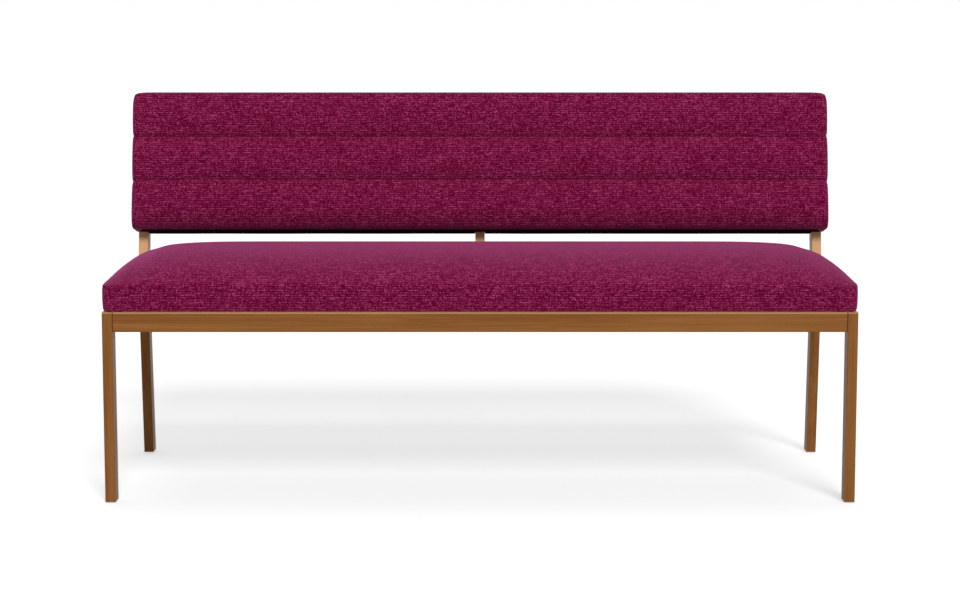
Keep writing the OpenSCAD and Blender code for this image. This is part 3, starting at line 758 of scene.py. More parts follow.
# %% Close a pad
WELD_REACH = 0.02 * MM


def pad(name, face, rings, foot, flat, finish):
    """A skin that is closed by the grid of points foot."""
    piece = skin(name, face, rings, flat, finish)
    under = skin(name + "_foot", foot[:, ::-1], [], flat[:, ::-1], finish)
    bpy.ops.object.select_all(action="DESELECT")
    under.select_set(True)
    piece.select_set(True)
    bpy.context.view_layer.objects.active = piece
    bpy.ops.object.join()
    weld = piece.modifiers.new("weld", "WELD")
    weld.merge_threshold = WELD_REACH
    bpy.ops.object.modifier_apply(modifier="weld")
    return piece


def read_points(owner, attribute, count):
    flat = np.empty(count * 3, np.float32)
    owner.foreach_get(attribute, flat)
    return flat.reshape(-1, 3).astype(float)


def points_of(piece):
    return read_points(piece.data.vertices, "co", len(piece.data.vertices))


def normals_of(piece):
    return read_points(piece.data.vertex_normals, "vector", len(piece.data.vertices))


def move_points(piece, points):
    piece.data.vertices.foreach_set("co", points.astype(np.float32).ravel())
    piece.data.update()


print("pads are welded where points lie within", WELD_REACH / MM, "mm")

# %% [markdown]
# ## How a cushion is filled
# Drawn forms look too regular, while real cushions are cloth that foam pushes against. So
# each cover starts a few millimetres inside the wanted form and is blown up by Blender's
# cloth simulation. The cloth is held fast where it is stapled or sewn. Elsewhere the foam
# behind it also holds it, but softly, so that it swells evenly instead of like a balloon. No
# point may travel much further than to the wanted form, so the cushion keeps its size.

# %% Fill a cover by cloth simulation
FILLING_FRAMES = 20
SPARE = 1.12
FOAM_HOLD = 0.4
PRESSURE = 260.0


def filling(piece):
    """The cloth simulation of a cover, from frame 1 to the last frame of the filling."""
    cloth = piece.modifiers.new("filling", "CLOTH")
    cloth.settings.quality = 6
    cloth.settings.mass = 0.3
    cloth.settings.tension_stiffness = 3
    cloth.settings.compression_stiffness = 3
    cloth.settings.shear_stiffness = 1
    cloth.settings.bending_stiffness = 0.1
    cloth.settings.vertex_group_mass = "held"
    cloth.settings.use_pressure = True
    cloth.settings.uniform_pressure_force = PRESSURE
    cloth.settings.effector_weights.gravity = 0
    cloth.collision_settings.use_collision = False
    cloth.point_cache.frame_start = 1
    cloth.point_cache.frame_end = FILLING_FRAMES
    return cloth


def filled(piece, room, loose):
    """Blows the cover up by about room where loose is 1, and holds it where loose is 0."""
    goal = points_of(piece)
    reach = room * loose[:, None]
    start = goal - normals_of(piece) * reach
    move_points(piece, start)
    held = piece.vertex_groups.new(name="held")
    for index, share in enumerate(np.maximum(1 - loose, FOAM_HOLD)):
        held.add([index], float(share), "REPLACE")
    cloth = filling(piece)
    for number in range(1, FILLING_FRAMES + 1):
        bpy.context.scene.frame_set(number)
    blown = points_of(piece.evaluated_get(bpy.context.evaluated_depsgraph_get()))
    piece.modifiers.remove(cloth)
    piece.vertex_groups.remove(held)
    bpy.context.scene.frame_set(1)
    move = blown - start
    far = np.linalg.norm(move, axis=1, keepdims=True)
    final = start + move * np.minimum(1, SPARE * reach / np.maximum(far, 1e-9))
    off = np.linalg.norm(final - goal, axis=1) / MM
    print(piece.name, "filled:", round(float(far.max()) / MM, 1), "mm of free travel, now",
          round(float(off.mean()), 2), "mm from its drawn form on average and",
          round(float(off.max()), 1), "at most")
    return final


print("a cover is filled over", FILLING_FRAMES, "frames, and moves at most", SPARE, "of its room")

# %% [markdown]
# ## The seat cushion
# Seen from the front the seat has upright sides and a boxy outline with round shoulders. From
# the side it is crowned: full in the middle and falling to the front and the rear. Both come
# from one rise, the product of a very square curve across the bench and a round one from
# front to rear. Its box comes from the frame, so that the cushion sits where the model's does.

# %% Draw the seat's form
seat_low, seat_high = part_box("seat_cover")
SEAT_CROWN = 58.5 * MM
SEAT_SIDES = seat_high.z - seat_low.z - SEAT_CROWN
SEAT_HALF_X = (seat_high.x - seat_low.x) / 2
SEAT_HALF_Y = (seat_high.y - seat_low.y) / 2
SEAT_MIDDLE_Y = (seat_high.y + seat_low.y) / 2
SEAT_CORNER = 18 * MM
SEAT_DRAWN_IN = 1.5 * MM
SEAT_FULLEST = 0.59
TUCK = 3.5 * MM
TUCK_HEIGHT = 7 * MM
SQUARE_ACROSS = 14
SQUARE_DEEP = 3.1
FULLNESS = 0.82


def rounded_plan(u, v, half_x, half_y, radius):
    """Where the shares u and v lie in a rectangle with round corners."""
    cut = radius * (1 - math.sqrt(0.5))
    x = (half_x - cut * abs(v) ** (2 * half_y / radius)) * u
    y = (half_y - cut * abs(u) ** (2 * half_x / radius)) * v
    return x, y


def seat_rise(u, v):
    fall = (1 - abs(u) ** SQUARE_ACROSS) * (1 - abs(v) ** SQUARE_DEEP)
    return SEAT_CROWN * np.maximum(fall, 0) ** FULLNESS


def seat_points(u, v, z, inset):
    """Points at the shares u and v of the plan and the height z, inset from the outline."""
    x, y = rounded_plan(u, v, SEAT_HALF_X - inset, SEAT_HALF_Y - inset, SEAT_CORNER)
    return np.stack(np.broadcast_arrays(x, y + SEAT_MIDDLE_Y, z), -1)


def seat_drawn_in(z):
    """How far the sides pull in at height z: a little all the way, and more at the tuck."""
    height = z - seat_low.z
    tucked = TUCK * max(0.0, 1 - height / TUCK_HEIGHT) ** 2
    return SEAT_DRAWN_IN * (1 - height / SEAT_SIDES / SEAT_FULLEST) ** 2 + tucked


print("seat", round(2 * SEAT_HALF_X, 3), "by", round(2 * SEAT_HALF_Y, 3), "m, sides",
      round(SEAT_SIDES / MM, 1), "mm high")

# %% [markdown]
# The skin of the seat has about one point a centimetre, closer together over the shoulders.
# Its hem is turned under the deck, where staples hold it, so that is where the filling holds
# it too. It is also held along the shoulders and near the ends, where the cloth is drawn
# tight over the foam, and swells most in the middle of the seat.

# %% Make the seat's cover
SEAT_COLUMNS, SEAT_ROWS = 168, 60
SEAT_CROWDING_X, SEAT_CROWDING_Y = 1.15, 1.1
WALL_SHARES = (0.86, 0.72, 0.57, 0.42, 0.27, 0.15, 0.1, 0.06, 0.025, 0.0)
COVER = 1.5 * MM
HEM = 25 * MM
SEAT_ROOM = 6 * MM
SHOULDER_HELD, SHOULDER_FADE = 3 * MM, 30 * MM
END_HELD, END_FADE = 20 * MM, 120 * MM


def seat_form(inset, foot, hem):
    """The seat's shares, face, rings and flat map, drawn inset from the cover's outside."""
    u, flat_u = spread(SEAT_COLUMNS, SEAT_HALF_X, lambda s: seat_rise(s, 0 * s), SEAT_CROWDING_X)
    v, flat_v = spread(SEAT_ROWS, SEAT_HALF_Y, lambda s: seat_rise(0 * s, s), SEAT_CROWDING_Y)
    u, v = np.meshgrid(u, v)
    wall_top = seat_low.z + SEAT_SIDES - inset
    across, up = edge_places(SEAT_COLUMNS, SEAT_ROWS)
    edge_u, edge_v = u[up, across], v[up, across]
    face = seat_points(u, v, wall_top + seat_rise(u, v), inset + seat_drawn_in(wall_top))
    rings = []
    for share in WALL_SHARES:
        z = foot + (wall_top - foot) * share
        rings.append(seat_points(edge_u, edge_v, z, inset + seat_drawn_in(z)))
    for turned_in in hem:
        shift = inset + seat_drawn_in(foot) + turned_in
        rings.append(seat_points(edge_u, edge_v, foot, shift))
    return u, v, face, rings, np.stack(np.meshgrid(flat_u, flat_v), -1)


def make_seat_cover():
    hem = [HEM * share for share in (0.08, 0.5, 1.0)]
    _, _, face, rings, flat = seat_form(0.0, seat_low.z, hem)
    turned = rings[-1] + [0, 0, COVER]
    piece = skin("seat_cover_cloth", face, [*rings, turned], flat, cover_cloth)
    place = points_of(piece)
    from_end = SEAT_HALF_X - abs(place[:, 0])
    height = place[:, 2] - seat_low.z - SEAT_SIDES
    loose = fade(height, SHOULDER_HELD, SHOULDER_FADE) * fade(from_end, END_HELD, END_FADE)
    move_points(piece, filled(piece, SEAT_ROOM, loose))
    return piece


seat_cover = make_seat_cover()
print("seat cover:", len(seat_cover.data.polygons), "faces")

# %% [markdown]
# ## The backrest
# The backrest leans with its posts, so it is easiest to draw upright, in the posts' own frame:
# x across the bench, y to the rear from the posts' front faces, and z up along them. One turn
# about the bend in the rear legs then puts every point in place.

# %% Set the backrest's sizes
BEND = Vector((0.0, 0.184437, 0.397))
RECLINE = math.radians(12)
BACK_FOOT = 112 * MM
BACK_HEIGHT = 305.5 * MM
BACK_MIDDLE = BACK_FOOT + BACK_HEIGHT / 2
BACK_HALF_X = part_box("back_cover")[1].x
BACK_PAD = 65 * MM
BACK_EDGE = 12 * MM
POST_DEPTH = 40 * MM * math.cos(RECLINE)
SEAM_SHARES = (0, 0.343, 0.687, 1)
SEAMS = [BACK_FOOT + BACK_EDGE + share * (BACK_HEIGHT - 2 * BACK_EDGE) for share in SEAM_SHARES]


def on_posts(points):
    """Turns points from the posts' own frame into the bench's."""
    x, y, z = np.moveaxis(np.asarray(points, float), -1, 0)
    lean, rise = math.sin(RECLINE), math.cos(RECLINE)
    return np.stack([x, BEND.y + y * rise + z * lean, BEND.z + z * rise - y * lean], -1)


print("seams at", [round(z / MM) for z in SEAMS[1:3]], "mm above the bend, along the posts")

# %% [markdown]
# Three channels run across the backrest. Each bulges between two seams, where the cover is
# sewn down to the panel: the cloth dips gently towards a seam and then folds sharply into it.
# The light comes from above, so each channel is pale at its top and dark at its foot. The
# lowest one also rolls under in a wide curve, a quarter of an ellipse.

# %% Draw the channels
BACK_COLUMNS = 156
BACK_CROWDING = 1.25
CHANNEL_ROWS = 16
CHANNEL_CROWDING = 1.9
BULGE_SQUARE = 2.2
BULGE = 8.5 * MM
LOW_EDGES = (0.35, 1.0, 1.0)
HIGH_EDGES = (1.0, 1.0, 0.6)
ROLL_HEIGHT = 28 * MM
ROLL_DEPTH = 34 * MM
FOLD_DEPTH = 3.6 * MM
FOLD_WIDTH = 2.0 * MM


def channel_rows():
    """Heights of the face's rows of points, close together beside the seams."""
    close = crowded(CHANNEL_ROWS, CHANNEL_CROWDING)
    heights = [low + (high - low) * (close + 1) / 2 for low, high in zip(SEAMS, SEAMS[1:])]
    return np.concatenate([heights[0], heights[1][1:], heights[2][1:]])


def seam_distance(z):
    return np.minimum(abs(z - SEAMS[1]), abs(z - SEAMS[2]))


def foot_roll(below):
    """How far the roll at the foot falls back, at a distance below the lowest row of points."""
    share = np.clip((ROLL_HEIGHT + below) / (ROLL_HEIGHT + BACK_EDGE), 0, 1)
    return ROLL_DEPTH * (1 - np.sqrt(1 - share ** 2))


def channel_depth(z):
    """How far the face lies behind its fullest point at height z."""
    depth = np.zeros_like(z)
    for number, (low, high) in enumerate(zip(SEAMS, SEAMS[1:])):
        off = np.clip((2 * z - low - high) / (high - low), -1, 1)
        edge = np.where(off < 0, LOW_EDGES[number], HIGH_EDGES[number])
        depth = np.where((z >= low) & (z <= high), BULGE * edge * abs(off) ** BULGE_SQUARE, depth)
    depth = depth + foot_roll(SEAMS[0] - z)
    return depth + FOLD_DEPTH * np.exp(-((seam_distance(z) / FOLD_WIDTH) ** 2))


rows = channel_rows()
print("channels:", len(rows), "rows of points, deepest", round(channel_depth(rows).max() / MM, 1), "mm")

# %% [markdown]
# Round the face runs a padded edge, which turns the cover from the face to the sides. It
# starts at the angle at which the face arrives, so that the cloth has no crease there: level
# at the two ends, and already leaning at the top.

# %% Outline the backrest
TOP_CORNER = 4 * MM
FOOT_CORNER = 1 * MM
FOOT_CORNER_GROWTH = 0.4
LEAN_STEP = 0.5 * MM


def lean_at(z, step):
    """The angle at which the face leans at height z, going outwards by step."""
    here, before = channel_depth(np.array([z, z - step]))
    return math.atan((here - before) / step)


TOP_LEAN = lean_at(SEAMS[3], LEAN_STEP)


def edge_turn(out, lean):
    """How far a padded edge falls back where it is let out by out from a face that leans."""
    rise = np.sin(lean) + np.clip(out / BACK_EDGE, 0, 1) * (1 - np.sin(lean))
    return BACK_EDGE * (1 - np.sqrt(1 - rise ** 2) / np.cos(lean))


def back_outline(u, w, out):
    """Where the shares u and w lie on the face's plan, let out by out."""
    radius = np.where(w > 0, TOP_CORNER + out, FOOT_CORNER + FOOT_CORNER_GROWTH * out)
    half_x = BACK_HALF_X - BACK_EDGE + out
    half_z = BACK_HEIGHT / 2 - BACK_EDGE + out
    x, z = rounded_plan(u, w, half_x, half_z, radius)
    return x, z + BACK_MIDDLE


print("the face leans", round(math.degrees(TOP_LEAN), 1), "degrees where it meets the top edge")

# %% [markdown]
# After the padded edge the rings run back along the sides to the rear. At the foot they stop
# early, at a hem that is stapled under the bottom rails, and that line swings back at both
# ends to clear the posts. The sides are pinched a little where the seams reach them.

# %% Run the cover round the sides
TURN_STEPS = 7
SIDE_RINGS = 9
SEAM_PINCH = 0.9 * MM
PINCH_WIDTH = 5 * MM
PINCH_FADE = 1.6
FOOT_HEM_Y = 38 * MM - BACK_PAD
FOOT_HEM_LINE = {750 * MM: FOOT_HEM_Y, 760.5 * MM: -0.7 * MM, 766 * MM: POST_DEPTH / 4}


def back_form():
    """The cover's face and rings in the posts' frame, the face's flat map, and the edge's rows."""
    top_row = len(rows) - 1
    shares = crowded(BACK_COLUMNS, BACK_CROWDING)
    flat = np.stack(np.meshgrid(shares * BACK_HALF_X, rows), -1)
    u, w = np.meshgrid(shares, (rows - BACK_MIDDLE) / (BACK_HEIGHT / 2 - BACK_EDGE))
    x, z = back_outline(u, w, 0.0)
    depth = channel_depth(np.broadcast_to(rows[:, None], z.shape))
    face = np.stack([x, depth - BACK_PAD, z], -1)
    across, up = edge_places(BACK_COLUMNS, top_row)
    edge_u, edge_w, edge_depth = u[up, across], w[up, across], depth[up, across]
    at_ends = (across == 0) | (across == BACK_COLUMNS)
    pinch = np.exp(-((seam_distance(rows[up]) / PINCH_WIDTH) ** 2)) * at_ends
    rings = []

    def ring(out, y, pinched):
        x, z = back_outline(edge_u, edge_w, out)
        x = x - np.sign(edge_u) * pinch * SEAM_PINCH * pinched
        rings.append(np.stack(np.broadcast_arrays(x, y, z), -1))

    lean = np.where(up == top_row, TOP_LEAN, 0.0)
    for step in range(1, TURN_STEPS + 1):
        angle = lean + (math.pi / 2 - lean) * step / TURN_STEPS
        out = BACK_EDGE * (np.sin(angle) - np.sin(lean)) / (1 - np.sin(lean))
        fallen = np.where(up == 0, foot_roll(out) - foot_roll(0.0), edge_turn(out, lean))
        ring(out, edge_depth - BACK_PAD + fallen, 1.0)
    start = rings[-1][:, 1]
    hem_line = np.interp(abs(rings[-1][:, 0]), list(FOOT_HEM_LINE), list(FOOT_HEM_LINE.values()))
    end = np.where(up == 0, hem_line, POST_DEPTH + COVER)
    for step in range(1, SIDE_RINGS + 1):
        share = step / SIDE_RINGS
        ring(BACK_EDGE, start + (end - start) * share, max(0.0, 1 - PINCH_FADE * share))
    return face, rings, flat, up


print("the hem at the foot lies", round((FOOT_HEM_Y + BACK_PAD) / MM, 1), "mm behind the front")

# %% [markdown]
# At the rear the cover is turned in behind the posts, and at the foot its hem is turned up.

# %% Turn the hem
REAR_HEM = 25 * MM
CORNER_HEM = 3 * MM
HEM_ZONE = 20 * MM
HEM_SHARES = (0.1, 0.5, 1.0)
FOOT_HEM_END = 0.4 * MM


def turn_rear_hem(rings, up):
    """Turns the last ring in behind the posts, and up at the foot, where it ends before them."""
    last = rings[-1]
    at_foot, by_foot = up == 0, up == 1
    at_sides = abs(last[:, 0]) > BACK_HALF_X - HEM_ZONE
    at_top = last[:, 2] > BACK_FOOT + BACK_HEIGHT - HEM_ZONE
    for share in HEM_SHARES:
        turned = last.copy()
        hem = np.where(at_foot, 0.0, np.where(by_foot, CORNER_HEM, REAR_HEM)) * share
        turned[:, 0] -= np.sign(last[:, 0]) * hem * at_sides
        turned[:, 2] -= hem * at_top
        turned[:, 2] += COVER * share * at_foot
        rings.append(turned)
    rings.append(turned - np.where(at_foot[:, None], (0, FOOT_HEM_END, 0), (0, COVER, 0)))


print("the cover turns in", round(REAR_HEM / MM), "mm at the rear")

# %% [markdown]
# The filling holds the cover at its seams and along its edges. A sewn seam is never quite
# straight, and small puckers run out from it, so both are added afterwards as smooth noise
# along each seam that dies away from it.

# %% Make the backrest's cover
BACK_ROOM = 4 * MM
SEAM_HELD, SEAM_FADE = 1.5 * MM, 26 * MM
EDGE_HELD, EDGE_FADE = 4 * MM, 30 * MM
PUCKER = 0.55 * MM
PUCKER_REACH = 13 * MM
PUCKER_WAVES = ((9.4, 21 * MM), (5.1, 24 * MM))
DRIFT = 0.9 * MM
DRIFT_WAVES = ((7.7, 90 * MM), (2.3, 110 * MM))
FRONT_STARTS, FRONT_FADE = 30 * MM, 20 * MM
NOISE_LAYER = 0.37


def wobble(x, seed, length):
    """Smooth noise along x, from -1 to 1."""
    return np.array([noise.noise(Vector((value / length, seed, NOISE_LAYER))) for value in x])


def along_seams(points, waves):
    """Smooth noise for the nearer seam; waves has a seed and a length for each of the two."""
    lower, upper = [wobble(points[:, 0], seed, length) for seed, length in waves]
    return np.where(points[:, 2] > (SEAMS[1] + SEAMS[2]) / 2, upper, lower)


def make_back_cover():
    face, rings, flat, up = back_form()
    turn_rear_hem(rings, up)
    piece = skin("back_cover_cloth", face, rings, flat, cover_cloth)
    drawn = points_of(piece)
    off_middle = abs(drawn[:, 2] - BACK_MIDDLE)
    inside = np.minimum(BACK_HALF_X - abs(drawn[:, 0]), BACK_HEIGHT / 2 - off_middle)
    loose = fade(seam_distance(drawn[:, 2]), SEAM_HELD, SEAM_FADE)
    loose = loose * fade(inside, EDGE_HELD, EDGE_FADE) * (drawn[:, 1] < -BACK_PAD / 2)
    move_points(piece, filled(piece, BACK_ROOM, loose))
    local = points_of(piece)
    near = np.exp(-seam_distance(local[:, 2]) / PUCKER_REACH)
    near = near * fade(-drawn[:, 1], FRONT_STARTS, FRONT_FADE)
    puckers, drift = along_seams(local, PUCKER_WAVES), along_seams(local, DRIFT_WAVES)
    local[:, 1] += PUCKER * puckers * near
    local[:, 2] += DRIFT * drift * near
    move_points(piece, on_posts(local))
    return piece


back_cover = make_back_cover()
print("back cover:", len(back_cover.data.polygons), "faces")

# %% [markdown]
# One round of subdivision smooths both covers. They ride on the bench's only body and stand for
# the model's plain covers.

# %% Put the covers on


def put_on(piece, slot, *nodes):
    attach(piece, "root")
    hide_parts(*nodes)


def subdivide(piece):
    modifier = piece.modifiers.new("smooth", "SUBSURF")
    modifier.levels = 1
    modifier.render_levels = 1
    modifier.uv_smooth = "NONE"


for piece, node in ((seat_cover, "seat_cover"), (back_cover, "back_cover")):
    subdivide(piece)
    put_on(piece, "woven_cover", node)
print("covers on:", seat_cover.name, back_cover.name)

# %% [markdown]
# ## What is inside
# The foam follows the covers from within and is hidden by them, so its form is drawn without
# a simulation. The seat has one crowned slab, and the backrest one strip for each channel.

# %% Make the seat's foam
LINING = 1.85 * MM
deck_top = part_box("seat_deck")[1].z


def make_seat_foam():
    u, v, face, rings, flat = seat_form(LINING, deck_top, [])
    foot = seat_points(u, v, deck_top, LINING + seat_drawn_in(deck_top))
    return pad("seat_foam_pad", face, rings, foot, flat, foam_finish)


seat_foam = make_seat_foam()
put_on(seat_foam, "foam", "seat_foam")
print("seat foam:", len(seat_foam.data.polygons), "faces")

# %% [markdown]
# Each strip of the backrest's foam lies against the panel, with its ends rounded and a hair's
# breadth between it and the next. The lowest follows the roll at the foot, and the highest
# the turn at the top.

# %% Make the backrest's foam
FOAM_HALF_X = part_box("back_foam_middle")[1].x
FOAM_COLUMNS, FOAM_ROWS = 76, 14
FOAM_ROUNDING = 20 * MM
FOAM_ROUNDNESS = 0.98
FOAM_FOOT_SHARE = 0.8
FOAM_LEAST = 8 * MM
FOAM_CLEAR = 2 * MM
PANEL = 12 * MM
BACK_LINING = 2.8 * MM
HAIR = 0.35 * MM
CORE_FOOT = BACK_FOOT + LINING
CORE_TOP = BACK_FOOT + BACK_HEIGHT - 7.5 * MM


def edge_drop(inside):
    """How far a rounded edge falls back, at a distance inside it."""
    off = np.clip(1 - inside / FOAM_ROUNDING, 0, 1)
    return FOAM_ROUNDING * (1 - np.sqrt(1 - off * off * FOAM_ROUNDNESS))


def make_channel_foam(number, name):
    low = CORE_FOOT if name == "bottom" else SEAMS[number] + HAIR
    high = CORE_TOP if name == "top" else SEAMS[number + 1] - HAIR
    x, z = np.meshgrid(
        np.linspace(-1, 1, FOAM_COLUMNS + 1), np.linspace(low, high, FOAM_ROWS + 1))
    end_x = FOAM_HALF_X - (edge_drop(z - low) * FOAM_FOOT_SHARE if name == "bottom" else 0)
    x = x * end_x
    depth = channel_depth(np.clip(z, SEAMS[0], SEAMS[3]))
    if name == "bottom":
        depth = depth + foot_roll(np.maximum(SEAMS[0] + FOAM_CLEAR - z, 0)) - foot_roll(0.0)
    if name == "top":
        past = z - SEAMS[3] + FOAM_CLEAR
        depth = depth + edge_turn(past, TOP_LEAN) - edge_turn(0.0, TOP_LEAN)
    front = depth + BACK_LINING - BACK_PAD + edge_drop(end_x - abs(x))
    face = np.stack([x, np.minimum(front, -PANEL - FOAM_LEAST), z], -1)
    foot = np.stack([x, np.full_like(x, -PANEL), z], -1)
    across, up = edge_places(FOAM_COLUMNS, FOAM_ROWS)
    rings = [face[up, across] + (foot - face)[up, across] * share for share in (0.25, 0.5, 0.75, 1)]
    piece = pad(f"back_foam_{name}_pad", on_posts(face), [on_posts(r) for r in rings],
                on_posts(foot), np.stack([x, z], -1), foam_finish)
    put_on(piece, "foam", "back_foam_" + name)
    return piece


channel_foams = [make_channel_foam(*place) for place in enumerate(("bottom", "middle", "top"))]
print("channel foams:", [piece.name for piece in channel_foams])

# %% [markdown]
# A thin strip of padding runs up one side of the backrest, over the top and down the other, so
# that the cover doesn't lie on bare edges. It is a flat strip swept round three sides. Its
# section is given in shares of the strip's thickness and width, and it is pressed thin at the
# two corners, where the cover is drawn tight.

# %% Make the edge padding
PADDING_SECTION = ((0.0, 0.0), (0.7, 0.0), (1.0, 0.06), (1.0, 0.5), (1.0, 0.94), (0.7, 1.0), (0.0, 1.0))
PADDING_FRONT = 29 * MM - BACK_PAD
PADDING_SHARE = 0.98
PADDING_SIDE_POINTS, PADDING_TOP_POINTS = 12, 60
PADDING_CORNER = 0.2


def padding_path():
    """The strip's path round three sides, and which way it is thick at each point."""
    low, high = CORE_FOOT + BACK_EDGE, CORE_TOP - TOP_CORNER - BACK_EDGE
    up_side = np.linspace(low, high, PADDING_SIDE_POINTS)
    over_top = np.linspace(-FOAM_HALF_X, FOAM_HALF_X, PADDING_TOP_POINTS)
    path = [(-FOAM_HALF_X, z) for z in up_side]
    path += [(x, CORE_TOP) for x in over_top]
    path += [(FOAM_HALF_X, z) for z in up_side[::-1]]
    out = [(-1, 0)] * PADDING_SIDE_POINTS
    out += [(-PADDING_CORNER, PADDING_CORNER)]
    out += [(0, 1)] * (PADDING_TOP_POINTS - 2)
    out += [(PADDING_CORNER, PADDING_CORNER)]
    out += [(1, 0)] * PADDING_SIDE_POINTS
    thick = BACK_HALF_X - LINING - FOAM_HALF_X
    return np.array(path), np.array(out) * thick * PADDING_SHARE


def make_edge_padding():
    path, out = padding_path()
    width = POST_DEPTH - HAIR - PADDING_FRONT
    grid = np.array([
        [(x + dx * lift, PADDING_FRONT + width * back, z + dz * lift)
         for (x, z), (dx, dz) in zip(path, out)]
        for lift, back in PADDING_SECTION
    ])
    count, sides = len(path), len(PADDING_SECTION)
    faces = [
        (a * count + i, b * count + i, b * count + i + 1, a * count + i + 1)
        for a, b in zip(range(sides), [*range(1, sides), 0]) for i in range(count - 1)
    ]
    faces += [tuple(a * count for a in range(sides))[::-1]]
    faces += [tuple(a * count + count - 1 for a in range(sides))]
    mesh = bpy.data.meshes.new("back_edge_padding_strip")
    mesh.from_pydata(on_posts(grid.reshape(-1, 3)).tolist(), [], faces)
    mesh.materials.append(foam_finish)
    mesh.uv_layers.new(name="cloth")
    piece = bpy.data.objects.new("back_edge_padding_strip", mesh)
    bpy.context.scene.collection.objects.link(piece)
    return piece


edge_padding = make_edge_padding()
put_on(edge_padding, "foam", "back_edge_padding")
print("edge padding:", len(edge_padding.data.polygons), "faces")

# %% [markdown]
# ## The outside back and the dust cloths
# The rear of the backrest is closed by a thin board wrapped in the cover cloth. Its edges are
# soft, because the cloth is turned over them.

# %% Wrap the outside back
REAR_INSET = 4.4 * MM
REAR_FRONT = POST_DEPTH + COVER
REAR_THICK = 4.6 * MM
REAR_COLUMNS, REAR_ROWS = 120, 26
REAR_CROWDING = 1.2
REAR_ROUNDING = 2.2 * MM
REAR_CORNER = 4 * MM
REAR_SWELL = 0.6 * MM
REAR_TURN_STEPS = 4
REAR_CLEAR = 0.1 * MM


def rear_points(u, w, out, y):
    """Points of the outside back at the shares u and w, let out by out, at a depth y."""
    half_x = BACK_HALF_X - REAR_INSET - REAR_ROUNDING + out
    half_z = BACK_HEIGHT / 2 - REAR_INSET - REAR_ROUNDING + out
    x, z = rounded_plan(u, w, half_x, half_z, REAR_CORNER + out)
    return np.stack(np.broadcast_arrays(x, y, z + BACK_MIDDLE), -1)


def make_rear_cover():
    shares = crowded(REAR_COLUMNS, REAR_CROWDING)
    u, w = np.meshgrid(-shares, np.linspace(-1, 1, REAR_ROWS + 1))
    back = REAR_FRONT + REAR_THICK - REAR_SWELL
    face = rear_points(u, w, 0.0, back + REAR_SWELL * (1 - u ** 6) * (1 - w ** 4))
    across, up = edge_places(REAR_COLUMNS, REAR_ROWS)
    edge_u, edge_w = u[up, across], w[up, across]
    rings = []
    for step in range(1, REAR_TURN_STEPS + 1):
        angle = math.pi / 2 * step / REAR_TURN_STEPS
        y = back - REAR_ROUNDING * (1 - math.cos(angle))
        rings.append(rear_points(edge_u, edge_w, REAR_ROUNDING * math.sin(angle), y))
    rings.append(rear_points(edge_u, edge_w, REAR_ROUNDING, REAR_FRONT + REAR_CLEAR))
    foot = rear_points(u, w, REAR_ROUNDING, REAR_FRONT + REAR_CLEAR)
    flat = np.stack([-u * (BACK_HALF_X - REAR_INSET), w * (BACK_HEIGHT / 2 - REAR_INSET)], -1)
    return pad("rear_board_wrap", on_posts(face), [on_posts(r) for r in rings],
               on_posts(foot), flat, cover_cloth)


rear_cover = make_rear_cover()
put_on(rear_cover, "woven_cover", "rear_board_cover")
print("outside back:", len(rear_cover.data.polygons), "faces")

# %% [markdown]
# Black dust cloth closes the undersides of the seat and the backrest. It is stapled flat, and
# only ripples a little between the staples. Both cloths are drawn on a flat grid, of which
# the cells that posts take up can be left out.

# %% Stretch the seat's dust cloth
DUST_THICK = 0.6 * MM
DUST_ABOVE = 0.7 * MM
DUST_RIPPLE = 0.3 * MM
RIPPLE_BLOTS = (110 * MM, 70 * MM)
RIPPLE_LAYER = 1.7
DUST_COLUMNS, DUST_ROWS = 120, 36
DUST_NODES = {"seat_dust_cloth": ["seat_dust_cover"], "back_foot_cloth": ["back_bottom_cloth"]}
DUST_RESTS_ON = {
    "seat_dust_cloth": ["seat_deck"],
    "back_foot_cloth": ["back_bottom_rail_left", "back_bottom_rail_right"],
}


def ripples(x, y):
    """Smooth noise over the grid's points, from -1 to 1."""
    places = zip((x / RIPPLE_BLOTS[0]).ravel(), (y / RIPPLE_BLOTS[1]).ravel())
    heights = [noise.noise(Vector((a, b, RIPPLE_LAYER))) for a, b in places]
    return np.array(heights).reshape(x.shape)


def make_dust_cloth(name, x, y, height, kept, place):
    """A thin cloth over the cells of a flat grid that are kept, rippling down a little.

    x and y are the grid's points, and place puts flat points where they belong.
    """
    points = place(np.stack([x, y, height - DUST_RIPPLE * (1 + ripples(x, y))], -1))
    corners, _, _ = skin_faces(x.shape[1] - 1, x.shape[0] - 1, 0)
    corners = corners[kept.ravel()]
    flat = np.stack([x, y], -1).reshape(-1, 2)[corners]
    piece = new_piece(name, points.reshape(-1, 3), corners, flat, dust_finish)
    thicken = piece.modifiers.new("thickness", "SOLIDIFY")
    thicken.thickness = DUST_THICK
    thicken.offset = 1.0
    bpy.context.view_layer.objects.active = piece
    bpy.ops.object.modifier_apply(modifier="thickness")
    put_on(piece, "dust_cloth", *DUST_NODES[name])
    DUST_RESTS_ON[name]


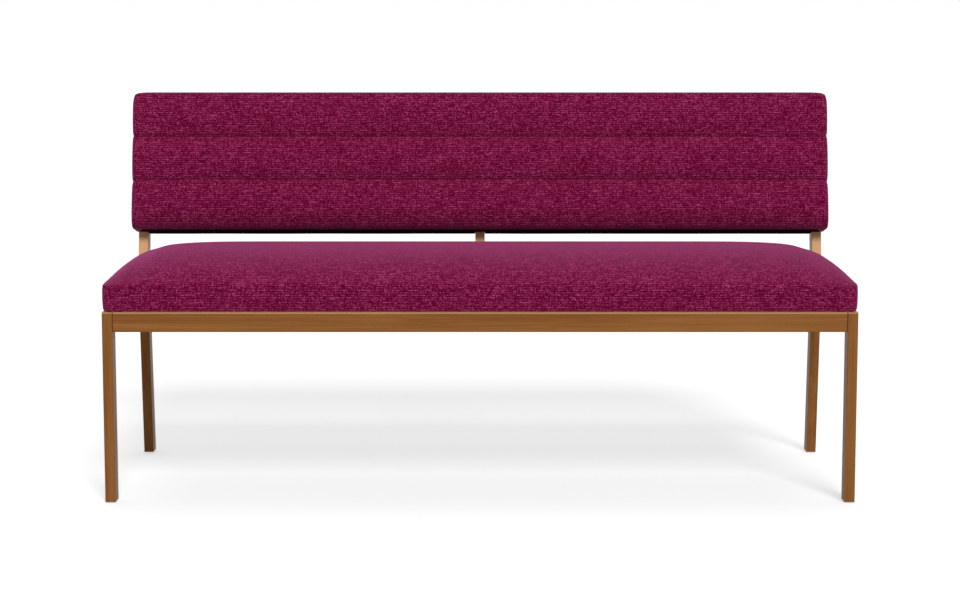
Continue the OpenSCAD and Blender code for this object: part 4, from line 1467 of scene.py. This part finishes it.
dust_low, dust_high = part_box("seat_dust_cover")
dust_x, dust_y = np.meshgrid(
    np.linspace(dust_low.x, dust_high.x, DUST_COLUMNS + 1),
    np.linspace(dust_low.y, dust_high.y, DUST_ROWS + 1))
make_dust_cloth("seat_dust_cloth", dust_x, dust_y, dust_low.z + DUST_ABOVE,
                np.ones((DUST_ROWS, DUST_COLUMNS), bool), lambda points: points)

# %% [markdown]
# The backrest's underside faces a little forwards, so it is seen from the front as a dark
# line. Its cloth is stapled on last and laps over the turned hem of the cover. Its black is
# partly the dust cloth's own colour and partly painted shade, reaching far enough forwards to
# widen the dark line under the backrest. It is slit for the centre post, and narrows between
# the outer posts, so the cells that the posts take up are left out.

# %% Close the backrest's foot
POST_HALF = 10.5 * MM + HAIR
POST_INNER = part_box("front_leg_right")[0].x - HAIR
# How far forwards the black cloth reaches, which sets the width of the painted dark line.
CLOTH_FRONT = 30 * MM - BACK_PAD
CLOTH_FRONT_END = 750 * MM
CLOTH_END = 760.5 * MM
CLOTH_BELOW = 0.75 * MM
CLOTH_STEPS_X = 60
CLOTH_STEPS_FRONT, CLOTH_STEPS_REAR = 6, 5


def make_foot_cloth():
    inner = np.linspace(POST_HALF, POST_INNER, CLOTH_STEPS_X + 1)
    half = [*inner, CLOTH_FRONT_END, CLOTH_END]
    columns = np.array([*[-x for x in half[::-1]], *half])
    front = np.linspace(CLOTH_FRONT, -HAIR, CLOTH_STEPS_FRONT + 1)
    rear = np.linspace(-HAIR, POST_DEPTH, CLOTH_STEPS_REAR + 1)[1:]
    x, y = np.meshgrid(columns, [*front, *rear])
    narrowed = np.interp(y, [front[0], front[-1]], [CLOTH_FRONT_END, CLOTH_END])
    past = np.clip((abs(x) - POST_INNER) / (CLOTH_END - POST_INNER), 0, 1)
    x = np.sign(x) * (np.minimum(abs(x), POST_INNER) + past * (narrowed - POST_INNER))
    middle_x = abs(x[:-1, :-1] + x[:-1, 1:]) / 2
    between_posts = (middle_x > POST_HALF) & (middle_x < POST_INNER)
    kept = (y[1:, 1:] < 0) | between_posts
    make_dust_cloth("back_foot_cloth", x, y, BACK_FOOT - CLOTH_BELOW, kept, on_posts)


make_foot_cloth()
